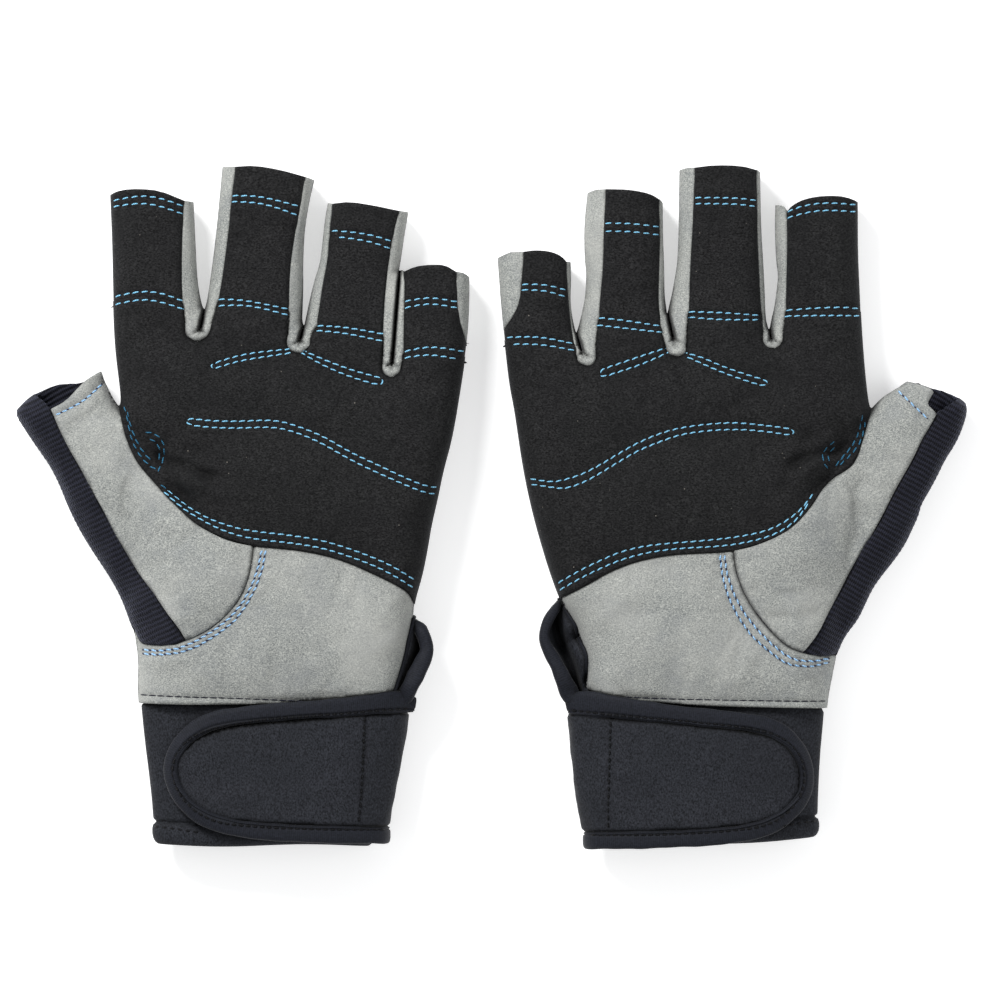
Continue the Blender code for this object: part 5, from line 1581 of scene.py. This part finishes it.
        # how far the first palm rows run on past each end
        ends = [(2.7, 0.9), (0.7, 0.7), (0.7, 0.7), (0.7, 1.2), (1.3, 1.3), (1.3, 1.3)]
        rows = self.table["palm"]
        rows = [extend(row, *end) for row, end in zip(rows, ends)] + rows[len(ends) :]
        # palm stitches within 14 mm of this place take the darker thread, as painted shade by the
        # web
        deep = (*(self.crease_origin + self.traits["shade_centre"]), 14.0)
        self.sew("thread_palm_blue", rows, ["blue", "blue_painted_shade"], "palm", "palm_suede_black",
                 slant=SLANT, deep=deep)
        for finger in FINGERS:
            end = {"index": (2.7, 0.7), "little": (0.7, 0.4)}.get(finger, (0.7, 0.7))
            rows = [extend(row, *end) for row in self.table[finger + "_rows"]]
            self.sew(f"thread_{finger}_blue", rows, ["blue"], finger, "palm_suede_black",
                     slant=SLANT)

    def suede_threads(self):
        table, twisted = self.table, ["pale_blue", "navy"]
        self.sew("thread_thumb_hem", [table["hem"]], twisted, "thumb", "suede_grey",
                 pitch=2.1, radius=0.29, length=1.9, twist=True, slant=-SLANT)
        first, second = (resample(line, 1.0) for line in table["twist"])
        second = second[np.round(np.linspace(0, len(second) - 1, len(first))).astype(int)]
        middle = (first + second) / 2
        rows = [middle + (line - middle) * 0.78 for line in (first, second)]
        self.sew("thread_thenar_twisted", rows, twisted, "palm", "suede_grey",
                 pitch=2.2, length=1.8, radius=0.29, twist=True, slant=-SLANT * 1.6)
        self.sew("thread_heel_dark", [table["dark"]], ["ink"], "palm", "suede_grey",
                 pitch=2.6, length=3.0, radius=0.20)
        self.sew("thread_thenar_seam", [table["thenar"][:-1]], ["ink"], "palm", "suede_grey",
                 pitch=1.5, length=1.9, radius=0.11, lift=0.2)

    def wrist_threads(self):
        edge = fine(self.table["strap"])
        out = sideways(edge)
        k = len(edge) // 2
        if ((edge[k] - edge.mean(0)) * out[k]).sum() < 0:
            out = -out
        rows = [(edge + out * 1.25)[::3], self.table["strap_stitch"]]
        self.sew("thread_strap_black", rows, ["black"], "strap", "neoprene_black",
                 pitch=2.1, radius=0.30, length=1.75, lift=0.40)
        self.sew("thread_cuff_black", [self.table["cuff_stitch"]], ["black"], "palm",
                 "neoprene_black", pitch=2.2, radius=0.27, length=1.7)

    def build(self):
        self.palm_overlay()
        for finger in FINGERS:
            self.finger(finger)
        for i in range(3):
            self.finger_gap(i)
        self.little_side()
        self.heel_panel()
        self.thumb_front()
        self.thumb_rib()
        self.back_of_hand()
        self.cuff()
        self.strap_tab()
        self.strap_binding()
        self.vent_binding()
        self.vent_gusset()
        self.patch("loop", "palm", out=0.95, start=5, stop=48, below=3.0, above=3.5)
        self.patch("hook", "strap", out=2.2, start=6, stop=44, below=4.0, above=4.5)
        V, F = [], []
        count = 0
        for points, faces in self.surfaces:
            V += points.tolist()
            F += [tuple(i + count for i in face) for face in faces]
            count += len(points)
        self.tree = BVHTree.FromPolygons(V, F)
        self.blue_threads()
        self.suede_threads()
        self.wrist_threads()


for side in LINES:
    Glove(side).build()


# ---------------------------------------------------------------- floor, light and camera
def add_floor():
    bpy.ops.mesh.primitive_grid_add(
        x_subdivisions=8, y_subdivisions=8, size=6, location=(0, 0, -0.0006))
    floor = bpy.context.object
    floor.name = "floor"
    paint = material("floor_white", base=(0.94, 0.94, 0.94), rough=0.9, paint=paint_floor)
    floor.data.materials.append(paint)


def add_world():
    world = bpy.data.worlds.new("soft_sky")
    bpy.context.scene.world = world
    world.use_nodes = True
    sky = world.node_tree.nodes["Background"].inputs
    sky["Color"].default_value = (0.98, 0.99, 1.0, 1)
    sky["Strength"].default_value = 0.50


def add_lamp(name, at, size, watts):
    """A white disk light aimed at the origin."""
    light = bpy.data.lights.new(name, "AREA")
    light.shape, light.size, light.energy, light.color = "DISK", size, watts, (1, 1, 1)
    obj = bpy.data.objects.new(name, light)
    obj.location = at
    obj.rotation_euler = (-Vector(at)).to_track_quat("-Z", "Y").to_euler()
    bpy.context.scene.collection.objects.link(obj)


def add_camera():
    """Looks straight down on a field of the given width at the given height."""
    distance_up, field_width, field_height = 4.0, 0.3, 0.011
    camera = bpy.data.cameras.new("camera")
    camera.sensor_width = 36
    camera.lens = 36 * (distance_up - field_height) / field_width
    camera.clip_end = 20
    obj = bpy.data.objects.new("camera", camera)
    obj.location = (0.00311, 0.00158, distance_up)
    bpy.context.scene.collection.objects.link(obj)
    bpy.context.scene.camera = obj


add_floor()
add_world()
add_lamp("key", at=(-0.6, 0.8, 0.85), size=0.45, watts=17.0)
add_lamp("fill", at=(0.9, -0.2, 1.1), size=1.1, watts=5.0)
add_camera()
bpy.context.scene.view_settings.view_transform = "Standard"
